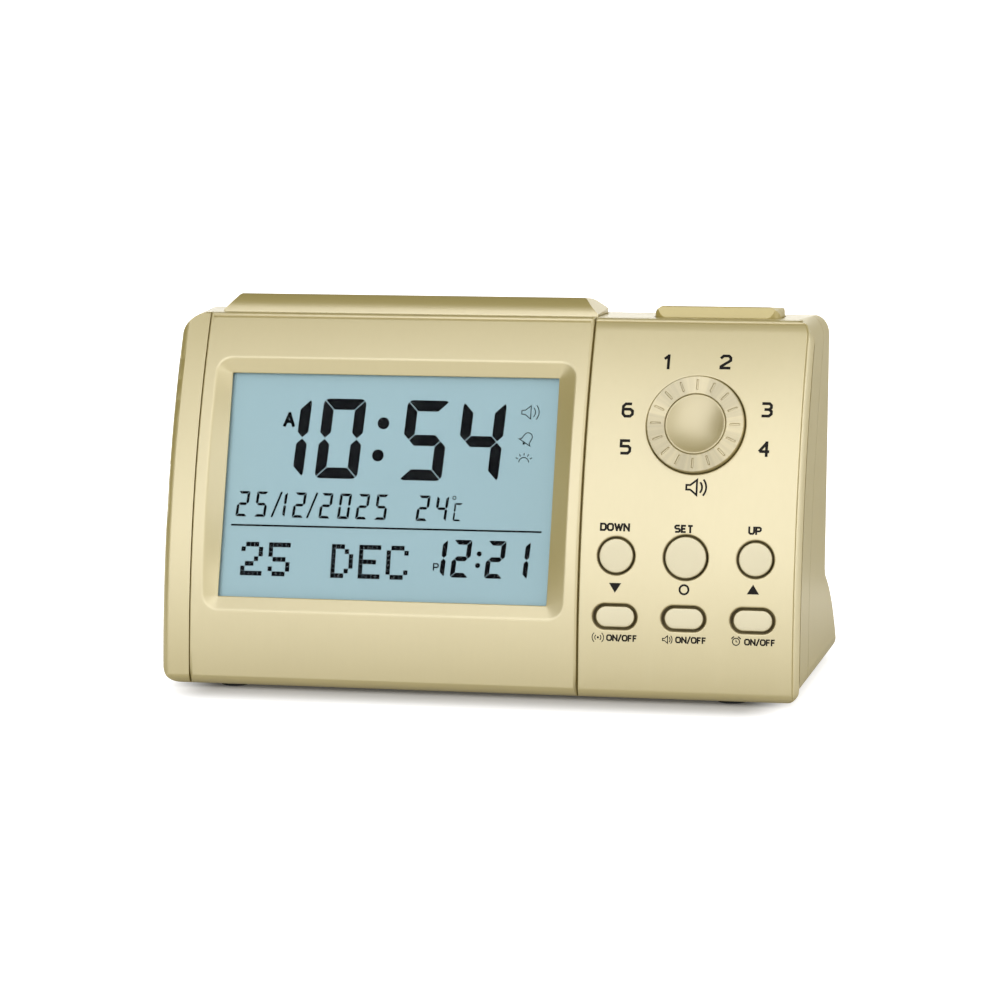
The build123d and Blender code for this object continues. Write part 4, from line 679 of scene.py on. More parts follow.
def add_camera(studio):
    """Camera at the given azimuth, elevation and roll, looking at the stage target."""
    th, ph, ro = studio.azimuth, studio.elevation, studio.roll
    forward = np.array([-math.sin(th) * math.cos(ph), math.cos(th) * math.cos(ph), -math.sin(ph)])
    right = np.array([math.cos(th), math.sin(th), 0.0])
    up = np.cross(right, forward)
    place = np.eye(4)
    turned_right = math.cos(ro) * right + math.sin(ro) * up
    turned_up = math.cos(ro) * up - math.sin(ro) * right
    spot = np.array(STAGE_TARGET) - forward * studio.distance
    place[:3] = points_of(turned_right, turned_up, -forward, spot)
    data = bpy.data.cameras.new("Camera")
    data.lens = studio.focal
    data.sensor_width = 36.0
    data.clip_start = 0.01
    camera = placed("Camera", data)
    camera.matrix_world = Matrix(place.tolist())
    bpy.context.scene.camera = camera


def add_lamp(name, location, size, power):
    """Rectangular area lamp aimed at the clock."""
    data = bpy.data.lights.new(name, "AREA")
    data.shape = "RECTANGLE"
    data.size, data.size_y = size
    data.energy = power
    lamp = placed(name, data)
    lamp.matrix_world = Matrix.Translation(location) @ aim(location, LAMP_TARGET)
    return lamp


def add_world(strength):
    """Plain light from all sides; white where it is seen directly, in a reflection or through glass."""
    world = bpy.data.worlds.new("Studio")
    bpy.context.scene.world = world
    world.use_nodes = True
    tree = world.node_tree
    tree.nodes.clear()
    seen = put(tree, "Background", Color=(1.0, 1.0, 1.0), Strength=1.0)
    fill = put(tree, "Background", Color=(1.0, 0.99, 0.975), Strength=strength)
    path = put(tree, "LightPath").outputs
    total = maths(tree, "ADD", path["Is Camera Ray"], path["Is Glossy Ray"])
    total = maths(tree, "ADD", total, path["Is Transmission Ray"], clamp=True)
    mix = put(tree, "MixShader", total, fill.outputs[0], seen.outputs[0])
    put(tree, "OutputWorld", mix.outputs[0])


def add_floor():
    """Round pale floor: the plane z = 0 out to 4 m, brightened for rays that see it, the more
    the farther from the clock, so that its shadow stays; the weak glow near the clock also paints a
    darker contact shadow round its foot, seen directly and in reflections."""
    rings = circle(0.0, 0.0, FLOOR_RINGS[:, None], full_turn(96))
    points = points_of(rings[..., 0], rings[..., 1], 0.0).reshape(-1, 3)
    mesh = bpy.data.meshes.new("Floor")
    mesh.from_pydata(points, [], grid_faces(len(FLOOR_RINGS), 96, wrap_columns=True)[:, ::-1].tolist())
    mesh.validate()
    floor = placed("Floor", mesh)
    material, tree, shader = new_material("Floor", Roughness=1.0, Specular_IOR_Level=0.0,
                                          Emission_Color=(1, 1, 1))
    place = object_place(tree)
    past = vector_maths(tree, "SUBTRACT", vector_maths(tree, "ABSOLUTE", place)[0], FOOTPRINT_HALF)[0]
    outside = vector_maths(tree, "MAXIMUM", past, (0.0, 0.0, 0.0))[0]
    away = vector_maths(tree, "LENGTH", outside)["Value"]
    path = put(tree, "LightPath").outputs
    total = 0.0
    # painted shadow: the glow ramps down towards the clock's footprint
    for ray, reach, least in FLOOR_GLOW:
        near = put(tree, "MapRange", away, interpolation_type="SMOOTHSTEP", From_Max=reach, To_Min=least)
        total = maths(tree, "ADD", maths(tree, "MULTIPLY", path[ray], near.outputs[0]), total)
    tone = put(tree, "TexNoise", Vector=place, Scale=3.0).outputs[0]
    supply(tree, shader, Emission_Strength=total,
           Base_Color=mix_colours(tree, tone, (0.61, 0.605, 0.605), (0.63, 0.625, 0.625)))
    mesh.materials.append(material)


def add_flag(name, location, size, tone, target):
    """Card beside the clock that only reflections see: a grid of 2 by 2 quads facing the target."""
    across, up = np.meshgrid(*(np.linspace(-0.5, 0.5, 3) * side for side in size))
    turned = np.array(aim(location, target).to_3x3())
    points = points_of(across, up, 0.0).reshape(-1, 3) @ turned.T + np.array(location)
    mesh = bpy.data.meshes.new(name)
    mesh.from_pydata(points, [], grid_faces(3, 3).tolist())
    card = placed(name, mesh)
    mesh.materials.append(new_material(name, Base_Color=(tone, tone, tone), Roughness=1.0,
                                       Specular_IOR_Level=0.0)[0])
    card.visible_camera = card.visible_diffuse = card.visible_shadow = card.visible_transmission = False


class ClockStage(bpy.types.Operator):
    """Camera, lamps, sky and floor"""
    bl_idname = "azan_clock.stage"
    bl_label = "Stage"

    def execute(self, context):
        studio = context.scene.azan_studio
        context.scene.view_settings.view_transform = "Standard"
        add_camera(studio)
        add_world(studio.sky)
        lamps = {lamp[0]: add_lamp(*lamp[:3], getattr(studio, lamp[3])) for lamp in LAMPS}
        lamps["Top lamp"].visible_glossy = False
        lamps["Right card"].visible_diffuse = False
        for flag in FLAGS:
            add_flag(*flag)
        add_floor()
        return {"FINISHED"}


# ---- case
class ClockCase(bpy.types.Operator):
    """Paint of the housings and the battery door, rubber feet and screws"""
    bl_idname = "azan_clock.case"
    bl_label = "Case"

    def execute(self, context):
        finish_nodes("front_housing", "rear_housing", "battery_door", "rubber_feet", "case_screws")
        return {"FINISHED"}


class ClockInside(bpy.types.Operator):
    """Finishes of the boards, switches, speaker, cells and springs"""
    bl_idname = "azan_clock.inside"
    bl_label = "Inside parts"

    def execute(self, context):
        finish_nodes("display_holder", "light_guide", "connector_strips", "main_board", "board_chips",
                     "quartz_crystal", "board_capacitors", "temperature_sensor", "switch_shaft",
                     "rotary_switch", "dial_nut", "dial_board", "rubber_keypad", "key_board", "top_board",
                     "snooze_switch_1", "snooze_switch_2", "light_switch", "snooze_springs",
                     "light_springs", "battery_cell_1", "battery_cell_2", "battery_cell_3",
                     "battery_contacts", "battery_springs", "speaker_basket", "speaker_magnet",
                     "speaker_cone", "speaker_clips", "speaker_screws", "board_screws")
        return {"FINISHED"}


# ---- side line of the case front
def skin_profile():
    """Side line of the case front from the underside up over the face to the top: arc lengths, y and z.
    It is the rounding of the lower edge, the face's own arc, and the rounding of the upper edge."""
    low_z = UNDERSIDE + FRONT_EDGE_R
    low = np.array([face_y(low_z, FRONT_EDGE_R), low_z])
    slope = (TOP_REAR[1] - CASE_TOP) / (TOP_REAR[0] - face_y(CASE_TOP))
    high = np.array([0.0, CASE_TOP])
    for _ in range(6):      # closes in on the height where the rounding touches both the face and the top
        line = CASE_TOP + slope * (high[0] - face_y(CASE_TOP)) - TOP_EDGE_R * math.hypot(1, slope)
        high = np.array([face_y(line, TOP_EDGE_R), line])
    low_end, high_start = (math.atan2(*(centre - AXIS)[::-1]) % (2 * math.pi) for centre in (low, high))
    rows = [circle(*low, FRONT_EDGE_R, np.linspace(1.5 * math.pi, low_end, 17)),
            circle(*AXIS, FACE_R, np.linspace(low_end, high_start, 260)[1:-1]),
            circle(*high, TOP_EDGE_R, np.linspace(high_start, math.pi / 2 + math.atan(slope), 9))]
    rows.append(rows[-1][-1] + np.linspace(0, PLATE, 6)[1:, None] * unit(np.array([1, slope])))
    line = np.concatenate(rows)
    line = line[FACE_R - np.linalg.norm(line - AXIS, axis=1) <= PLATE + 1e-9]
    steps = np.linalg.norm(np.diff(line, axis=0), axis=1)
    return np.concatenate([[0], np.cumsum(steps)]), line[:, 0], line[:, 1]


SKIN_S, SKIN_Y, SKIN_Z = skin_profile()


def skin_s(z):
    """Arc length on the side line at height z of the face."""
    face = (SKIN_Z > UNDERSIDE + FRONT_EDGE_R) & (SKIN_Y < face_y(CASE_TOP) - 0.0002)
    return np.interp(z, SKIN_Z[face], SKIN_S[face])


def on_skin(x, s):
    """Points of the case front at x and arc length s."""
    return points_of(x, np.interp(s, SKIN_S, SKIN_Y), np.interp(s, SKIN_S, SKIN_Z))


S_LOW = skin_s(UNDERSIDE + FRONT_EDGE_R + 0.0003)
S_HIGH = skin_s(CASE_TOP - 0.0004)
S_END = float(SKIN_S[-1])
S_TOP = S_END - PLATE * 0.88


def lowered(points, drop):
    """Points of the face moved by drop towards the face's axis."""
    moved = points.copy()
    moved[..., 1:] -= unit(points[..., 1:] - AXIS) * np.asarray(drop)[..., None]
    return moved


def sunk(points, depth):
    """Points moved towards the face's axis until they lie depth behind the face, if they lie less deep."""
    reach = np.linalg.norm(points[..., 1:] - AXIS, axis=-1)
    return lowered(points, np.maximum(reach - FACE_R + depth, 0.0))


def rim_drop(s):
    """Depth of the face plates' top border at arc length s: a thin bell-shaped groove just below the
    rounding of the upper edge, and above the groove a strip that rises steadily to the edge."""
    t = np.maximum(S_HIGH - s, 0.0)
    strip = 0.00008 * np.clip(t / RIM_GROOVE, 0, 1) * (1 - smooth((t - RIM_GROOVE) / 0.0002))
    return strip + 0.00016 * np.exp(-((S_HIGH - s - RIM_GROOVE) / 0.0001) ** 2)


# ---- display plate
PLATE_EDGE = (      # distance from the plate's side, bevel at the right side, share of the way to the ends
    (0.00068, 0.0, 0.3), (0.00056, 0.00004, 0.45), (0.00044, 0.00009, 0.55), (0.0003, 0.00011, 0.65),
    (0.00018, 0.00015, 0.75), (0.00006, 0.00024, 0.88), (0.0, 0.0004, 1.0))


def display_plate(sizes):
    """Face plate with the sloped frame. Rings of points run round the window: down at the window's edge,
    along the slope, over a rounded lip, across the face to the plate's edge, round it and back behind.
    The slope is ruled from the window's sharp outline to the frame's round-cornered one. Beyond the face
    the ring's arc lengths follow the roundings of the lower and upper edge."""
    lip, radius = sizes.frame_lip, sizes.frame_corner
    window = rounded_outline(-WINDOW_HALF[0], WINDOW_HALF[0], -WINDOW_HALF[1], WINDOW_HALF[1], 0.0003)
    low, high = skin_s(np.array(FRAME_SPAN_Z))
    left_end, right_end = FRAME_SPAN_X
    mouth = rounded_outline(left_end, right_end, low, high, radius)
    wide = rounded_outline(left_end - lip, right_end + lip, low - lip, high + lip, radius + lip)
    flat_low, flat_high = S_LOW, S_HIGH - RIM_STEPS[0]
    tall = flat_high - flat_low
    x0, x1 = PLATE_SPAN
    panel = rounded_outline(x0 + PLATE_BORDER, x1 - PLATE_BORDER, flat_low, flat_high, 0.00001)
    panel[:, 1] = flat_high - tall * ((flat_high - panel[:, 1]) / tall) ** 1.5
    rise = (panel[:, 1] - flat_low) / tall

    sill = in_frame(DISPLAY, *window.T, WINDOW_SILL)
    top = on_skin(*mouth.T)
    along = unit(top - sill)
    slope_a, slope_b = sill + along * 0.0002, top - along * lip
    shares = np.array([0.02, 0.08, 0.25, 0.5, 0.75])[:, None, None]
    flat = wide + shares * (panel - wide)
    rows = [sill - DISPLAY[3] * WINDOW_SILL, *bend(sill - DISPLAY[3] * 0.00015, sill, slope_a, 3),
            *(slope_a + t * (slope_b - slope_a) for t in (0.06, 0.25, 0.5, 0.75, 0.94)),
            *bend(slope_b, top, on_skin(*wide.T), 6), *on_skin(flat[..., 0], flat[..., 1])]

    right = panel[:, 0] > (x0 + x1) / 2
    side = (rise > 1e-6 / tall) & (rise < 1 - 1e-6 / tall)
    border = [(PLATE_BORDER - 0.0003 * share, 0.0, 0.12 * share) for share in 1 - RIM_STEPS / RIM_STEPS[0]]
    for offset, bevel, share in (*border, *PLATE_EDGE):
        x = np.where(right, x1 - offset, x0 + offset)
        s_low = np.interp(share, [0, 0.12, 1], [flat_low, flat_low - 0.0001, 0.0])
        s_high = np.interp(share, [0, 0.12, 0.65, 1], [flat_high, S_HIGH, S_TOP, S_END])
        s = s_low + rise * (s_high - s_low)
        inner = max(0.0, PLATE_EDGE_R - offset)
        round_left = PLATE_EDGE_R - math.sqrt(PLATE_EDGE_R ** 2 - inner ** 2)
        rows.append(lowered(on_skin(x, s), np.where(right, bevel, round_left) * side + rim_drop(s)))
    rows += [sunk(on_skin(np.where(right, x1, x0), rise * S_END), PLATE),
             sunk(on_skin(*wide.T), PLATE + 0.0002),
             in_frame(DISPLAY, window[:, 0] * 1.03, window[:, 1] * 1.045)]
    return ring_stack(rows, wrapped=True)


class ClockDisplayPlate(bpy.types.Operator):
    """Left face plate with the sloped, round-cornered frame around the window"""
    bl_idname = "azan_clock.display_plate"
    bl_label = "Display plate"

    def execute(self, context):
        plate = add_piece("display_plate", *display_plate(context.scene.azan_sizes), FINISH["gold_panel"],
                          "case", "gold_panel")
        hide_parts("display_panel")
        return {"FINISHED"}


# ---- control plate
LEFT_STEPS = np.array([0.0, 0.04, 0.1, 0.18, 0.28, 0.6]) * MM
RIGHT_STEPS = np.array([1.1, 0.7, 0.56, 0.5, 0.45, 0.4, 0.35, 0.3, 0.24, 0.16, 0.08, 0.0]) * MM
FIRST_ROW, FIRST_COLUMN, CELL_STEPS = 12, 6, 24
DIAL_POCKET = ((0.01465, -0.0029), (0.01465, -0.0062), (0.0036, -0.0062), (0.0036, -0.0042),
               (DIAL_HOLE, -0.0042), (DIAL_HOLE, -0.001))          # radii and heights
POST_PROFILE = ((0.00082, -0.0095), (0.0024, -0.0095), (0.0024, -0.0025), (0.00082, -0.0025))


def corner_inset(z):
    """How far the round corners of the plate's right side cut in at height z: r - sqrt(r^2 - t^2), with t
    the height above or below the start of the corner."""
    low, high = CORNER_R
    under, over = np.clip(UNDERSIDE + low - z, 0, low), np.clip(z - (CASE_TOP - high), 0, high)
    return high - np.sqrt(high ** 2 - over ** 2) + low - np.sqrt(low ** 2 - under ** 2)


def control_grid():
    """Front and back grids of the plate, and its (x, arc length) grid. Columns crowd at the rounded left
    edge and at the groove and bevelled rib of the right side, rows at the lower and upper edge."""
    levels = skin_s(np.array(CELL_ROWS))
    middle, cells = (
        np.concatenate([[marks[0]], *(np.linspace(*marks[k:k + 2], n * CELL_STEPS + 1)[1:]
                                      for k, n in enumerate(counts))])
        for marks, counts in ((CELL_COLUMNS, (1, 1, 1)), (levels, (1, 1, 2))))
    rows = np.concatenate([np.linspace(0, levels[0], FIRST_ROW + 1)[:-1], cells, S_HIGH - RIM_STEPS[1:],
                           np.linspace(S_HIGH, S_TOP, 8)[1:], np.linspace(S_TOP, S_END, 5)[1:]])
    line = on_skin(0.0, rows)
    depth = FACE_R - np.linalg.norm(line[:, 1:] - AXIS, axis=1)
    inset_back = corner_inset(line[:, 2])
    end_back = CONTROL_SPAN[1] - inset_back
    end = CONTROL_SPAN[1] - np.maximum(SIDE_BEVEL * (1 - depth / PLATE), inset_back)
    squeeze = np.minimum(1.0, (end - CELL_COLUMNS[-1]) / 0.0014)[:, None]
    fixed = np.concatenate([CONTROL_SPAN[0] + LEFT_STEPS, middle])
    fixed_rows = np.broadcast_to(fixed, (len(rows), len(fixed)))
    x = np.concatenate([fixed_rows, end[:, None] - RIGHT_STEPS * squeeze], axis=1)
    share = np.concatenate([np.zeros(len(fixed)), 1 - RIGHT_STEPS / RIGHT_STEPS[0]])
    x_back = x + (end_back - end)[:, None] * share
    inner = np.clip(PLATE_EDGE_R - LEFT_STEPS, 0, None)
    round_left = PLATE_EDGE_R - np.sqrt(PLATE_EDGE_R ** 2 - inner ** 2)
    groove = 0.00017 * np.exp(-((RIGHT_STEPS - 0.0004) / 0.00007) ** 2) + 0.00006 * (RIGHT_STEPS < 0.00001)
    down = np.concatenate([round_left, np.zeros(len(middle)), groove])
    s = rows[:, None]
    front = lowered(on_skin(x, s), np.maximum(down, rim_drop(s)))
    return front, sunk(on_skin(x_back, s), PLATE), points_of(x, s)


def loop_of(grid, rows, columns):
    """Points once round a block of a grid: along its low row, up, back along its high row, and down."""
    (a, b), (c, d) = rows, columns
    return np.concatenate([grid[a, c:d], grid[a:b, d], grid[b, d:c:-1], grid[b:a:-1, c]])


def hole_rings(front, back, spots, centre, half, radius, pocket=()):
    """Rings from the back of a cell's border in to its hole, through it, over its chamfered edge and out
    to the border in front. Ring points lie on rays from the hole's middle to the border's points."""
    rays = unit(spots - centre)

    def flat_ring(size):
        return centre + rays * slot_reach(rays, half, size)[:, None]

    def at(size, drop=0.0):
        return lowered(on_skin(*flat_ring(size).T), drop)

    soft, cut = 0.00012, HOLE_CHAMFER
    wide = radius + cut
    if pocket:
        rows = [in_frame(DIAL, *(rays * r).T, h) for r, h in pocket]
    else:
        rows = [sunk(at(wide + 0.0004), PLATE), sunk(at(radius), PLATE)]
    border = flat_ring(wide + 1.5 * soft)
    wall = bend(at(radius, cut + 2 * soft), at(radius, cut), at(radius + soft, cut - soft), 3)
    edge = bend(at(wide - soft, soft), at(wide), at(wide + 1.5 * soft), 4)
    flat = [on_skin(*(border + share * (spots - border)).T) for share in (0.03, 0.1, 0.3, 0.65)]
    rows = [back, *rows, *wall, at(radius + cut / 2, cut / 2), *edge, *flat, front]
    return ring_stack(rows, capped=False)


def control_plate():
    """Right face plate: a grid with seven cells cut out, each filled by the rings of one hole, the same
    grid again behind, the rim between them, and the posts of the key board."""
    grids = front, back, spots = control_grid()
    rows, columns = front.shape[:2]
    row_cuts = FIRST_ROW + CELL_STEPS * np.array([0, 1, 2, 4])
    column_cuts = FIRST_COLUMN + CELL_STEPS * np.arange(4)
    quads = grid_faces(rows, columns)
    row_of, column_of = np.divmod(quads[:, 0], columns)
    inside = ((row_of >= row_cuts[0]) & (row_of < row_cuts[3])
              & (column_of >= column_cuts[0]) & (column_of < column_cuts[3]))
    parts = [(grid.reshape(-1, 3), list(quads[~inside])) for grid in (front, back)]
    whole = ((0, rows - 1), (0, columns - 1))
    parts.append(ring_stack([loop_of(front, *whole), loop_of(back, *whole)], capped=False))

    place_s = float(skin_s(KEYS_PLACE[1]))
    key_z = np.array([OVAL_Z, ROUND_KEYS["set"][1]])
    oval_s, round_s = place_s + FACE_R * np.arcsin((key_z - KEYS_PLACE[1]) / KEYS[2][2] / FACE_R)
    cells = [((0, k), (x, oval_s), *OVAL_HOLE) for k, x in enumerate(OVAL_KEYS.values())]
    cells += [((1, k), (x, round_s), 0.0, r + ROUND_GAP)
              for k, ((x, _), r) in enumerate(zip(ROUND_KEYS.values(), ROUND_PADS))]
    cells.append(((2, 0), (DIAL_PLACE[0], skin_s(DIAL_PLACE[1])), 0.0, DIAL_HOLE, DIAL_POCKET))
    for (row, column), centre, *hole in cells:
        block = (row_cuts[row:row + 2], (column_cuts[column], column_cuts[3 if row == 2 else column + 1]))
        parts.append(hole_rings(*(loop_of(grid, *block) for grid in grids), np.array(centre), *hole))
    parts += [ring_stack(lathe(KEYS, POST_PROFILE, full_turn(32), post), wrapped=True)
              for post in KEY_POSTS]
    return stacked(parts)


class ClockControlPlate(bpy.types.Operator):
    """Right face plate with its groove, rib, dial recess and key holes"""
    bl_idname = "azan_clock.control_plate"
    bl_label = "Control plate"

    def execute(self, context):
        plate = add_piece("control_plate", *control_plate(), FINISH["gold_control"], "case", "gold_panel")
        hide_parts("control_panel")
        return {"FINISHED"}


# ---- lines, letters and signs
LETTERS = {     # width, and strokes through points, in hundredths of the height
    "A": (74, "0,0 37,96 | 37,96 74,0 | 16,32 58,32"),
    "D": (80, "0,0 60,0 80,20 80,80 60,100 0,100 0,0 10,0"),
    "E": (66, "66,100 0,100 0,0 66,0 | 0,51 58,51"),
    "F": (64, "64,100 0,100 0,0 | 0,49 56,49"),
    "N": (78, "0,0 0,100 | 6,92 72,8 | 78,0 78,100"),
    "O": (86, "43,0 66,0 86,20 86,80 66,100 20,100 0,80 0,20 20,0 45,0"),
    "P": (74, "0,0 0,100 56,100 74,84 74,58 56,42 0,42"),
    "S": (74, "74,100 16,100 0,86 0,66 16,51 58,51 74,36 74,14 58,0 0,0"),
    "T": (78, "0,100 78,100 | 39,100 39,0"),
    "U": (80, "0,100 0,20 20,0 60,0 80,20 80,100"),
    "W": (116, "0,100 29,4 | 29,4 58,90 | 58,90 87,4 | 87,4 116,100"),
    "/": (46, "0,-8 46,108"),
    "1": (34, "2,78 26,97 | 30,100 30,0"),
    "2": (74, "0,84 16,100 58,100 74,84 74,62 0,12 0,0 76,0"),
    "3": (74, "0,100 58,100 74,86 74,66 58,52 20,52 | 50,52 58,52 76,38 76,16 58,0 0,0"),
    "4": (80, "58,0 58,100 | 54,95 5,36 | 4,30 80,30"),
    "5": (74, "72,100 2,100 2,56 58,56 74,42 74,16 58,0 0,0"),
    "6": (76, "68,100 20,100 0,80 0,20 18,0 58,0 76,16 76,42 58,57 0,57"),
}
LETTER_SPACING = 0.34
SHARPEST_MITRE = 0.35


def disc(x, y, radius, steps=40):
    """Round dot as one polygon."""
    return circle(x, y, radius, full_turn(steps))


def arc_line(x, y, radius, start, end, steps=14):
    """Points on an arc, angles in degrees."""
    return circle(x, y, radius, np.radians(np.linspace(start, end, steps + 1)))


def ribbon(points, width, closed=False):
    """Quads of a line of even width through points: each corner is mitred along the bisector."""
    line = np.asarray(points, float)
    if closed:
        steps = unit(np.diff(np.concatenate([line[-1:], line, line[:1]]), axis=0))
    else:
        steps = unit(np.diff(line, axis=0))
        steps = np.concatenate([steps[:1], steps, steps[-1:]])
    behind, ahead = steps[:-1], steps[1:]
    middle = unit(ahead + behind)
    mitre = np.maximum(SHARPEST_MITRE, np.sum(middle * ahead, axis=1, keepdims=True))
    aside = points_of(-middle[:, 1], middle[:, 0]) * width / 2 / mitre
    left, right = line + aside, line - aside
    if closed:
        left, right = np.concatenate([left, left[:1]]), np.concatenate([right, right[:1]])
    return list(np.stack([right[:-1], right[1:], left[1:], left[:-1]], axis=1))


def strokes_of(letter):
    """Points of a letter's strokes, in shares of its height."""
    return [np.array([point.split(",") for point in stroke.split()], float) / 100
            for stroke in LETTERS[letter][1].split("|")]


def lettering(text, x, y, height, stroke, spacing=LETTER_SPACING):
    """Quads of a word of mitred strokes, centred on x, standing on y. Each stroke is carried on at both
    ends by half its width times its steepness."""
    inner = height - stroke
    advance = [LETTERS[c][0] / 100 for c in text]
    left = x - (sum(advance) + spacing * (len(text) - 1)) * inner / 2
    out = []
    for c, wide in zip(text, advance):
        for line in strokes_of(c):
            path = line * inner + (left, y + stroke / 2)
            tips = unit(path[[0, -1]] - path[[1, -2]])
            path[[0, -1]] += tips * np.abs(tips[:, 1:]) * stroke / 2
            out += ribbon(path, stroke)
        left += (wide + spacing) * inner
    return out


def loudspeaker(x, y, size, stroke):
    """Outline of a loudspeaker with two sound arcs."""
    horn = np.array([(-1, -0.22), (-1, 0.22), (-0.62, 0.22), (0, 0.72), (0, -0.72), (-0.62, -0.22)])
    out = ribbon(horn * size + (x, y), stroke, closed=True)
    for reach in (0.75, 1.15):
        out += ribbon(arc_line(x - 0.25 * size, y, reach * size, -42, 42), stroke)
    return out


# ---- readout
SEGMENTS_OF = {"0": "abcdef", "1": "bc", "2": "abged", "4": "fgbc", "5": "afgcd", "C": "afed"}
DOTS = {
    "2": (".###.", "#...#", "....#", "...#.", ".##..", "#....", "#####"),
    "5": ("#####", "#....", "#....", ".###.", "....#", "#...#", ".###."),
    "D": ("###..", "#..#.", "#...#", "#...#", "#...#", "#..#.", "###.."),
    "E": ("#####", "#....", "#....", "####.", "#....", "#....", "#####"),
    "C": (".###.", "#...#", "#....", "#....", "#....", "#...#", ".###."),
}
SLANT = 0.065
TIME = (("1", -0.03435), ("0", -0.01965), ("5", 0.0029), ("4", 0.01785))     # digits and their left ends
DATE = (("2", -0.041), ("5", -0.036), ("1", -0.0308), ("2", -0.0257), ("2", -0.0185), ("0", -0.0135),
        ("2", -0.0086), ("5", -0.0036), ("2", 0.00755), ("4", 0.0125))
DAY = (("2", -0.0386), ("5", -0.0312), ("D", -0.01423), ("E", -0.00685), ("C", 0.00054))
NEXT_TIME = (("1", 0.01115), ("2", 0.0176), ("2", 0.02665), ("1", 0.03305))
DOT_PITCH = np.array((0.00118, 0.001268))
DOT_GAP = 0.00005
ICON_LINE = 0.00022
BELL = (0.0359, 0.0138)
SUN = (0.0354, 0.0076)


def inset(polygon, amount):
    """Convex counterclockwise polygon with every side moved in by amount."""
    ahead = unit(np.roll(polygon, -1, axis=0) - polygon)
    here = polygon + points_of(-ahead[:, 1], ahead[:, 0]) * amount
    before, start = np.roll(ahead, 1, axis=0), np.roll(here, 1, axis=0)
    cross = before[:, 0] * ahead[:, 1] - before[:, 1] * ahead[:, 0]
    straight = np.abs(cross) < 1e-9
    gap = here - start
    reach = (gap[:, 0] * ahead[:, 1] - gap[:, 1] * ahead[:, 0]) / np.where(straight, 1.0, cross)
    return np.where(straight[:, None], here, start + before * reach[:, None])


def digit(text, x, y, width, height, stroke, gap=0.00022, slant=SLANT):
    """Polygons of one seven-segment digit whose box has its lower left corner at (x, y), slanted. The
    segments have mitred ends and rounded outer corners; each is drawn up to its neighbours and then
    shrunk by half the gap, and the lower ones mirror the upper ones."""
    w, h, t, m, r = width, height, stroke, height / 2, 0.55 * stroke

    def corner(cx, eighth):
        return circle(cx, h - r, r, (eighth + np.linspace(0, 1, 5)) * math.pi / 4).tolist()

    upper = {
        "a": corner(w - r, 1) + corner(r, 2) + [(t, h - t), (w - t, h - t)],
        "b": corner(w - r, 0) + [(w - t, h - t), (w - t, m + t / 2), (w - t / 2, m), (w, m + t / 2)],
        "f": corner(r, 3) + [(0, m + t / 2), (t / 2, m), (t, m + t / 2), (t, h - t)],
        "g": [(t / 2, m), (t, m - t / 2), (w - t, m - t / 2), (w - t / 2, m), (w - t, m + t / 2),
              (t, m + t / 2)],
    }
    polygons = {letter: inset(np.array(points), gap / 2) for letter, points in upper.items()}
    for letter, source in (("d", "a"), ("c", "b"), ("e", "f")):
        polygons[letter] = polygons[source][::-1] * (1, -1) + (0, h)
    return [polygons[letter] @ np.array([(1, 0), (slant, 1)]) + (x, y) for letter in SEGMENTS_OF[text]]


def dot_glyph(text, x, y):
    """Square dots of one 5 by 7 glyph whose lower left corner is at (x, y)."""
    rows, columns = np.nonzero(np.array([[c == "#" for c in row] for row in DOTS[text][::-1]]))
    corner = points_of(columns, rows) * DOT_PITCH + (x, y)
    square = np.array([(0, 0), (1, 0), (1, 1), (0, 1)])
    return list(corner[:, None, :] + square * (DOT_PITCH - DOT_GAP))


def readout_shapes(sizes):
    """All dark shapes of the readout, in metres on the display's plane."""
    h = sizes.digit_height
    shapes = [disc(-0.00255, 0.01706, 0.00156), disc(-0.0035, 0.00858, 0.00156),
              disc(0.02513, -0.01643, 0.00066, 24), disc(0.02488, -0.01945, 0.00066, 24)]
    for text, left in TIME:
        shapes += digit(text, left - SLANT * h / 2, 0.00215, 0.0117, h, 0.0031)
    for text, left in DATE:
        shapes += digit(text, left, -0.00835, 0.00325, 0.0068, 0.00082, 0.00012, 0.09)
    for text, left in DAY:
        shapes += dot_glyph(text, left, -0.02374)
    for text, left in NEXT_TIME:
        shapes += digit(text, left, -0.0228, 0.005, 0.00995, 0.00138, 0.00014)
    shapes += digit("C", 0.01745, -0.00815, 0.0023, 0.0048, 0.00055, 0.0001, 0.07)
    shapes += lettering("A", -0.028, 0.0156, 0.0040, 0.00085)
    shapes += lettering("P", 0.01384, -0.0211, 0.00195, 0.00034)
    for left in (-0.0311, -0.0215):
        shapes += ribbon([(left, -0.0083), (left + 0.0024, -0.0016)], 0.00052)
    shapes += ribbon(disc(0.01765, -0.00205, 0.00042, 20), 0.00022, closed=True)
    shapes += ribbon([(-0.0419, -0.01057), (0.0412, -0.01036)], 0.00046)
    return shapes + readout_icons()


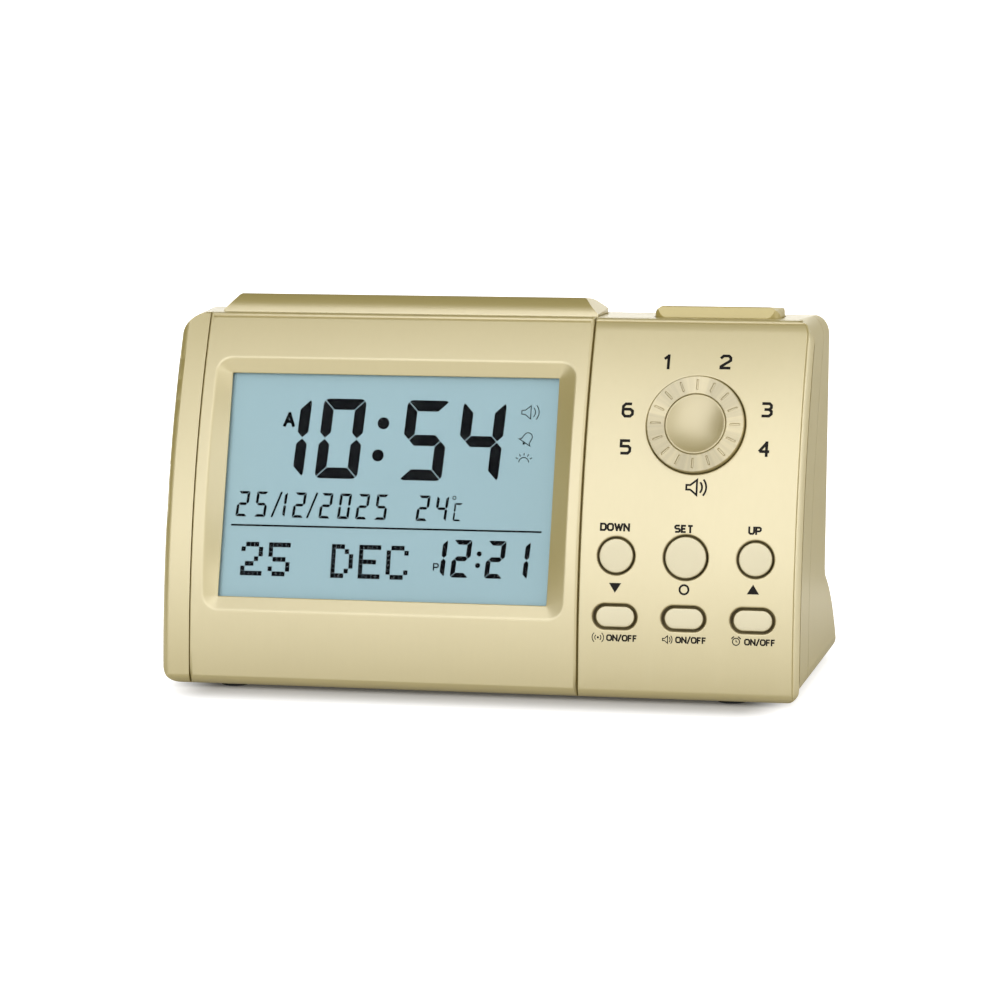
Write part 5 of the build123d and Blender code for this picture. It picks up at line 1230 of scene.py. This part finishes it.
def readout_icons():
    """Loudspeaker, leaning bell with its clapper, and a rising half sun with five rays. The sun's arc is
    mitred towards its foot line, which isn't drawn: a line that turns straight back has no mitre."""
    out = loudspeaker(0.03655, 0.0207, 0.0024, ICON_LINE)
    tilt = math.radians(-32)
    turn = np.array([[math.cos(tilt), math.sin(tilt)], [-math.sin(tilt), math.cos(tilt)]]) * 0.0015
    bell = np.concatenate([[(-1.15, -0.75), (-0.8, -0.45)], arc_line(0, 0.35, 0.75, 180, 0, 12),
                           [(0.8, -0.45), (1.15, -0.75)]])
    out += ribbon(bell @ turn + BELL, ICON_LINE, closed=True)
    out.append(disc(*(np.array((0.0, -1.0)) @ turn + BELL), 0.0003, 16))
    x, y = SUN
    half = np.concatenate([[(x - 0.0021, y)], arc_line(x, y, 0.0013, 180, 0), [(x + 0.0023, y)]])
    out += ribbon(half, ICON_LINE)[1:-1]
    for turned in (30, 60, 90, 120, 150):
        ray = arc_line(0, 0, 1.0, turned, turned, 1)
        out += ribbon(ray * ((0.0018,), (0.0025,)) + SUN, ICON_LINE)
    return out


def lens_skin():
    """Lens: a slab behind the window with a small bevel round its front edge."""
    w, h, t = LENS_SIZE
    rings = []
    for i, depth in ((LENS_BEVEL, 0.0), (0.0, LENS_BEVEL), (0.0, t)):
        outline = rounded_outline(-w / 2 + i, w / 2 - i, -h / 2 + i, h / 2 - i, 0.0008)
        rings.append(in_frame(DISPLAY, *outline.T, -depth))
    return ring_stack(rings)


class ClockDisplay(bpy.types.Operator):
    """Lens, liquid crystal and its dark segments"""
    bl_idname = "azan_clock.display"
    bl_label = "Display"

    def execute(self, context):
        finish_nodes("display_glass")
        lens = add_piece("window_lens", *lens_skin(), FINISH["clear_lens"], "case", "clear_lens", sharp=5.0)
        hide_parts("display_lens")
        shapes = readout_shapes(context.scene.azan_sizes)
        flat_piece("readout", [(shapes, lambda right, up: in_frame(DISPLAY, right, up, -SEGMENT_DEPTH))],
                   "segment_ink", "display_face")
        return {"FINISHED"}


# ---- dial and keys
def knob_skin():
    """Knob: a turned ring on a hub with 16 engraved slots. A slot lowers the ring by the depth times
    1 - smooth(q), where q is the distance to the slot's middle line, over a narrow slope at its border."""
    pitch = 2 * math.pi / TICKS
    offset = np.concatenate([np.linspace(-0.05, 0.05, 21), np.linspace(0.05, pitch - 0.05, 9)[1:-1]])
    turn = (offset + np.arange(TICKS)[:, None] * pitch).ravel()
    offset = np.tile(offset, TICKS)
    low, high = RING_H
    slope = (low - high) / (KNOB_R - CREST_R)
    radii = np.concatenate([np.linspace(0.0084, 0.0088, 3), np.linspace(0.0089, 0.0096, 8),
                            np.linspace(0.0098, 0.0108, 5), np.linspace(0.0109, 0.0117, 9),
                            np.linspace(0.0119, 0.0123, 3)])
    profile = np.concatenate([
        [(AXIS_GAP, 0.0001), (KNOB_BORE, 0.0001)],
        bend((KNOB_BORE, low - 0.0002), (KNOB_BORE, low), (CREST_R, low), 4),
        points_of(radii, low - slope * (radii - CREST_R)),
        bend((0.0123, high + slope * 0.00035), (KNOB_R, high), (KNOB_R, 0.0010), 5),
        [(KNOB_R, -0.0036), (0.01125, -0.0036), (0.01125, -0.0006), (0.004, -0.0006), (0.004, -0.0022),
         (0.0025, -0.0022), (0.0025, -0.0002), (AXIS_GAP, -0.0002)]])
    radius, height = profile[:, :1], profile[:, 1:]
    beyond = np.maximum(0, np.maximum(TICK_SPAN[0] - radius, radius - TICK_SPAN[1]))
    q = (np.hypot(radius * np.sin(offset), beyond) - TICK_HALF + 0.00009) / 0.00013
    carved = TICK_DEPTH * (1 - smooth(q)) * (height > 0.0007)
    return ring_stack(in_frame(DIAL, radius * np.cos(turn), radius * np.sin(turn), height - carved))


def cap_skin():
    """Cap: a turned disc with a dish of height h0 + (h1 - h0) (r / R)^2 and a soft rim."""
    low, high = DISH_H
    radii = np.linspace(0.00745, 0.0, 26)
    dish = points_of(np.maximum(radii, AXIS_GAP), low + (high - low) * (radii / 0.00755) ** 2)
    rim = bend((CAP_R, high - 0.0003), (CAP_R, high + 0.00004), dish[0], 5)
    return ring_stack(lathe(DIAL, np.concatenate([[(AXIS_GAP, 0.0002), (CAP_R, 0.0002)], rim, dish[1:]]),
                            full_turn(192)))


class ClockDial(bpy.types.Operator):
    """Knob with engraved slots, and its dished cap"""
    bl_idname = "azan_clock.dial"
    bl_label = "Dial"

    def execute(self, context):
        knob = add_piece("knob_ring", *knob_skin(), FINISH["gold_dial"], "dial", "gold_dial")
        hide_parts("dial_knob")
        cap = add_piece("knob_cap", *cap_skin(), FINISH["gold_cap"], "dial", "gold_dial")
        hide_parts("dial_cap")
        return {"FINISHED"}


def key_skin(x, z, half, radius, top):
    """Push key: stem, flange and a straight pad with a rounded top edge, all of slot-shaped sections."""
    at = (x - KEYS_PLACE[0], (z - KEYS_PLACE[1]) / KEYS[2][2])
    edge = bend((radius, top - 0.0003), (radius, top), (radius - 0.0003, top), 5)
    rows = [(0.0, 0.002, -0.0064), (0.0, 0.002, -0.004), (half, radius + 0.001, -0.004),
            (half, radius + 0.001, -0.003), (half, radius, -0.003), *((half, r, h) for r, h in edge),
            (half, radius - 0.0005, top + 0.00001), (half, radius * 0.5, top + 0.00003)]
    return ring_stack([in_frame(KEYS, *(slot_outline(wide, r) + at).T, h) for wide, r, h in rows])


class ClockKeys(bpy.types.Operator):
    """Three round and three oval push keys below the dial"""
    bl_idname = "azan_clock.keys"
    bl_label = "Keys"

    def execute(self, context):
        keys = [(name, f"{name}_button", x, z, 0.0, radius, ROUND_TOP)
                for (name, (x, z)), radius in zip(ROUND_KEYS.items(), ROUND_PADS)]
        keys += [(name, f"{name}_oval_button", x, OVAL_Z, *OVAL_PAD, OVAL_TOP)
                 for name, x in OVAL_KEYS.items()]
        for name, node, *shape in keys:
            key = add_piece(f"{name}_pad", *key_skin(*shape), FINISH["gold_keys"], f"{name}_key",
                            "gold_keys")
            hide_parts(node)
        return {"FINISHED"}


class ClockTopControls(bpy.types.Operator):
    """Snooze bar and light button"""
    bl_idname = "azan_clock.top_controls"
    bl_label = "Top controls"

    def execute(self, context):
        finish_nodes("snooze_bar")
        finish_nodes("light_button", finish="gold_light")
        return {"FINISHED"}


# ---- printed marks
BOLD, THIN, FINE = 0.00052, 0.0004, 0.00022        # widths of the printed lines
DIAL_NUMBERS = (("1", 0.04677, 0.0843), ("2", 0.06207, 0.0845), ("3", 0.07345, 0.0733),
                ("4", 0.0735, 0.0639), ("5", 0.0376, 0.0637), ("6", 0.0376, 0.0726))
KEY_WORDS = (("DOWN", 0.03603), ("SET", 0.0539), ("UP", 0.07217))
KEY_WORDS_Z = 0.04415
SWITCH_WORDS_Z = 0.01665


def waves_icon():
    """Dot between two pairs of sound arcs."""
    out = [disc(-0.0042, 0.0, 0.00028, 16)]
    for radius in (0.0008, 0.0015):
        for start, end in ((-50, 50), (130, 230)):
            out += ribbon(arc_line(-0.0042, 0.0, radius, start, end), FINE)
    return out


def alarm_icon():
    """Round clock with two hands and two bells."""
    out = ribbon(disc(-0.0041, 0.0, 0.0009, 28), 0.00026, closed=True)
    out += ribbon([(-0.0041, 0.00055), (-0.0041, 0.0), (-0.0037, -0.0001)], FINE)
    for start, end in ((110, 150), (30, 70)):
        out += ribbon(arc_line(-0.0041, 0.0, 0.00135, start, end, 6), 0.0003)
    return out


def mark_shapes(sizes):
    """Printed marks as (shapes, x, z) groups; each is laid on the face round its own place."""
    cap = sizes.mark_height
    triangle = np.array([(-0.0016, -0.0010), (0.0016, -0.0010), (0.0, 0.0015)])
    groups = [(lettering(text, 0.0, -0.0020, 0.0040, 0.00074), x, z) for text, x, z in DIAL_NUMBERS]
    groups += [(lettering(text, 0.0, -cap / 2, cap, BOLD), x, KEY_WORDS_Z) for text, x in KEY_WORDS]
    groups += [(loudspeaker(0.0002, 0.0, 0.0027, 0.0005), 0.0565, 0.0543),
               ([triangle[::-1] * (1, -1)], 0.03659, 0.0294),
               (ribbon(disc(0.0, 0.0, 0.00115, 32), BOLD, closed=True), 0.05446, 0.0292),
               ([triangle], 0.07218, 0.0295)]
    icons = (waves_icon(), loudspeaker(-0.0040, 0.0, 0.0013, 0.00024), alarm_icon())
    for x, icon in zip((0.03662, 0.05449, 0.07222), icons):
        groups.append((lettering("ON/OFF", 0.0020, -0.00085, 0.0017, THIN, 0.33) + icon, x, SWITCH_WORDS_Z))
    return groups


class ClockMarks(bpy.types.Operator):
    """Numbers round the dial, words and signs by the keys, printed on the face"""
    bl_idname = "azan_clock.marks"
    bl_label = "Printed marks"

    def execute(self, context):
        groups = [(shapes, lambda right, up, x=x, z=z: on_face(right + x, up, z, INK_LIFT))
                  for shapes, x, z in mark_shapes(context.scene.azan_sizes)]
        flat_piece("printed_marks", groups, "mark_ink", "gold_panel")
        return {"FINISHED"}


# ---- panel and registration
SETTINGS = {"azan_sizes": ClockSizes, "azan_colours": ClockColours, "azan_studio": ClockStudio}
STEPS = (ClockStage, ClockCase, ClockInside, ClockDisplayPlate, ClockControlPlate, ClockDisplay, ClockDial,
         ClockKeys, ClockTopControls, ClockMarks)


class ClockPanel(bpy.types.Panel):
    """Lists the clock's settings and building steps"""
    bl_idname = "VIEW3D_PT_azan_clock"
    bl_label = "Azan clock"
    bl_space_type = "VIEW_3D"
    bl_region_type = "UI"
    bl_category = "Azan clock"

    def draw(self, context):
        for group in (getattr(context.scene, setting) for setting in SETTINGS):
            for name in group.bl_rna.properties.keys():
                if name not in ("rna_type", "name"):
                    self.layout.prop(group, name)
        for step in STEPS:
            self.layout.operator(step.bl_idname)


CLASSES = (*SETTINGS.values(), *STEPS, ClockPanel)


def register():
    for item in CLASSES:
        bpy.utils.register_class(item)
    for name, kind in SETTINGS.items():
        setattr(bpy.types.Scene, name, bpy.props.PointerProperty(type=kind))


def unregister():
    for name in SETTINGS:
        delattr(bpy.types.Scene, name)
    for item in reversed(CLASSES):
        bpy.utils.unregister_class(item)


def main():
    """Registers the add-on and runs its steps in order."""
    register()
    make_finishes(bpy.context.scene.azan_colours)
    for step in STEPS:
        group, name = step.bl_idname.split(".")
        getattr(getattr(bpy.ops, group), name)()


if __name__ == "__main__":
    main()
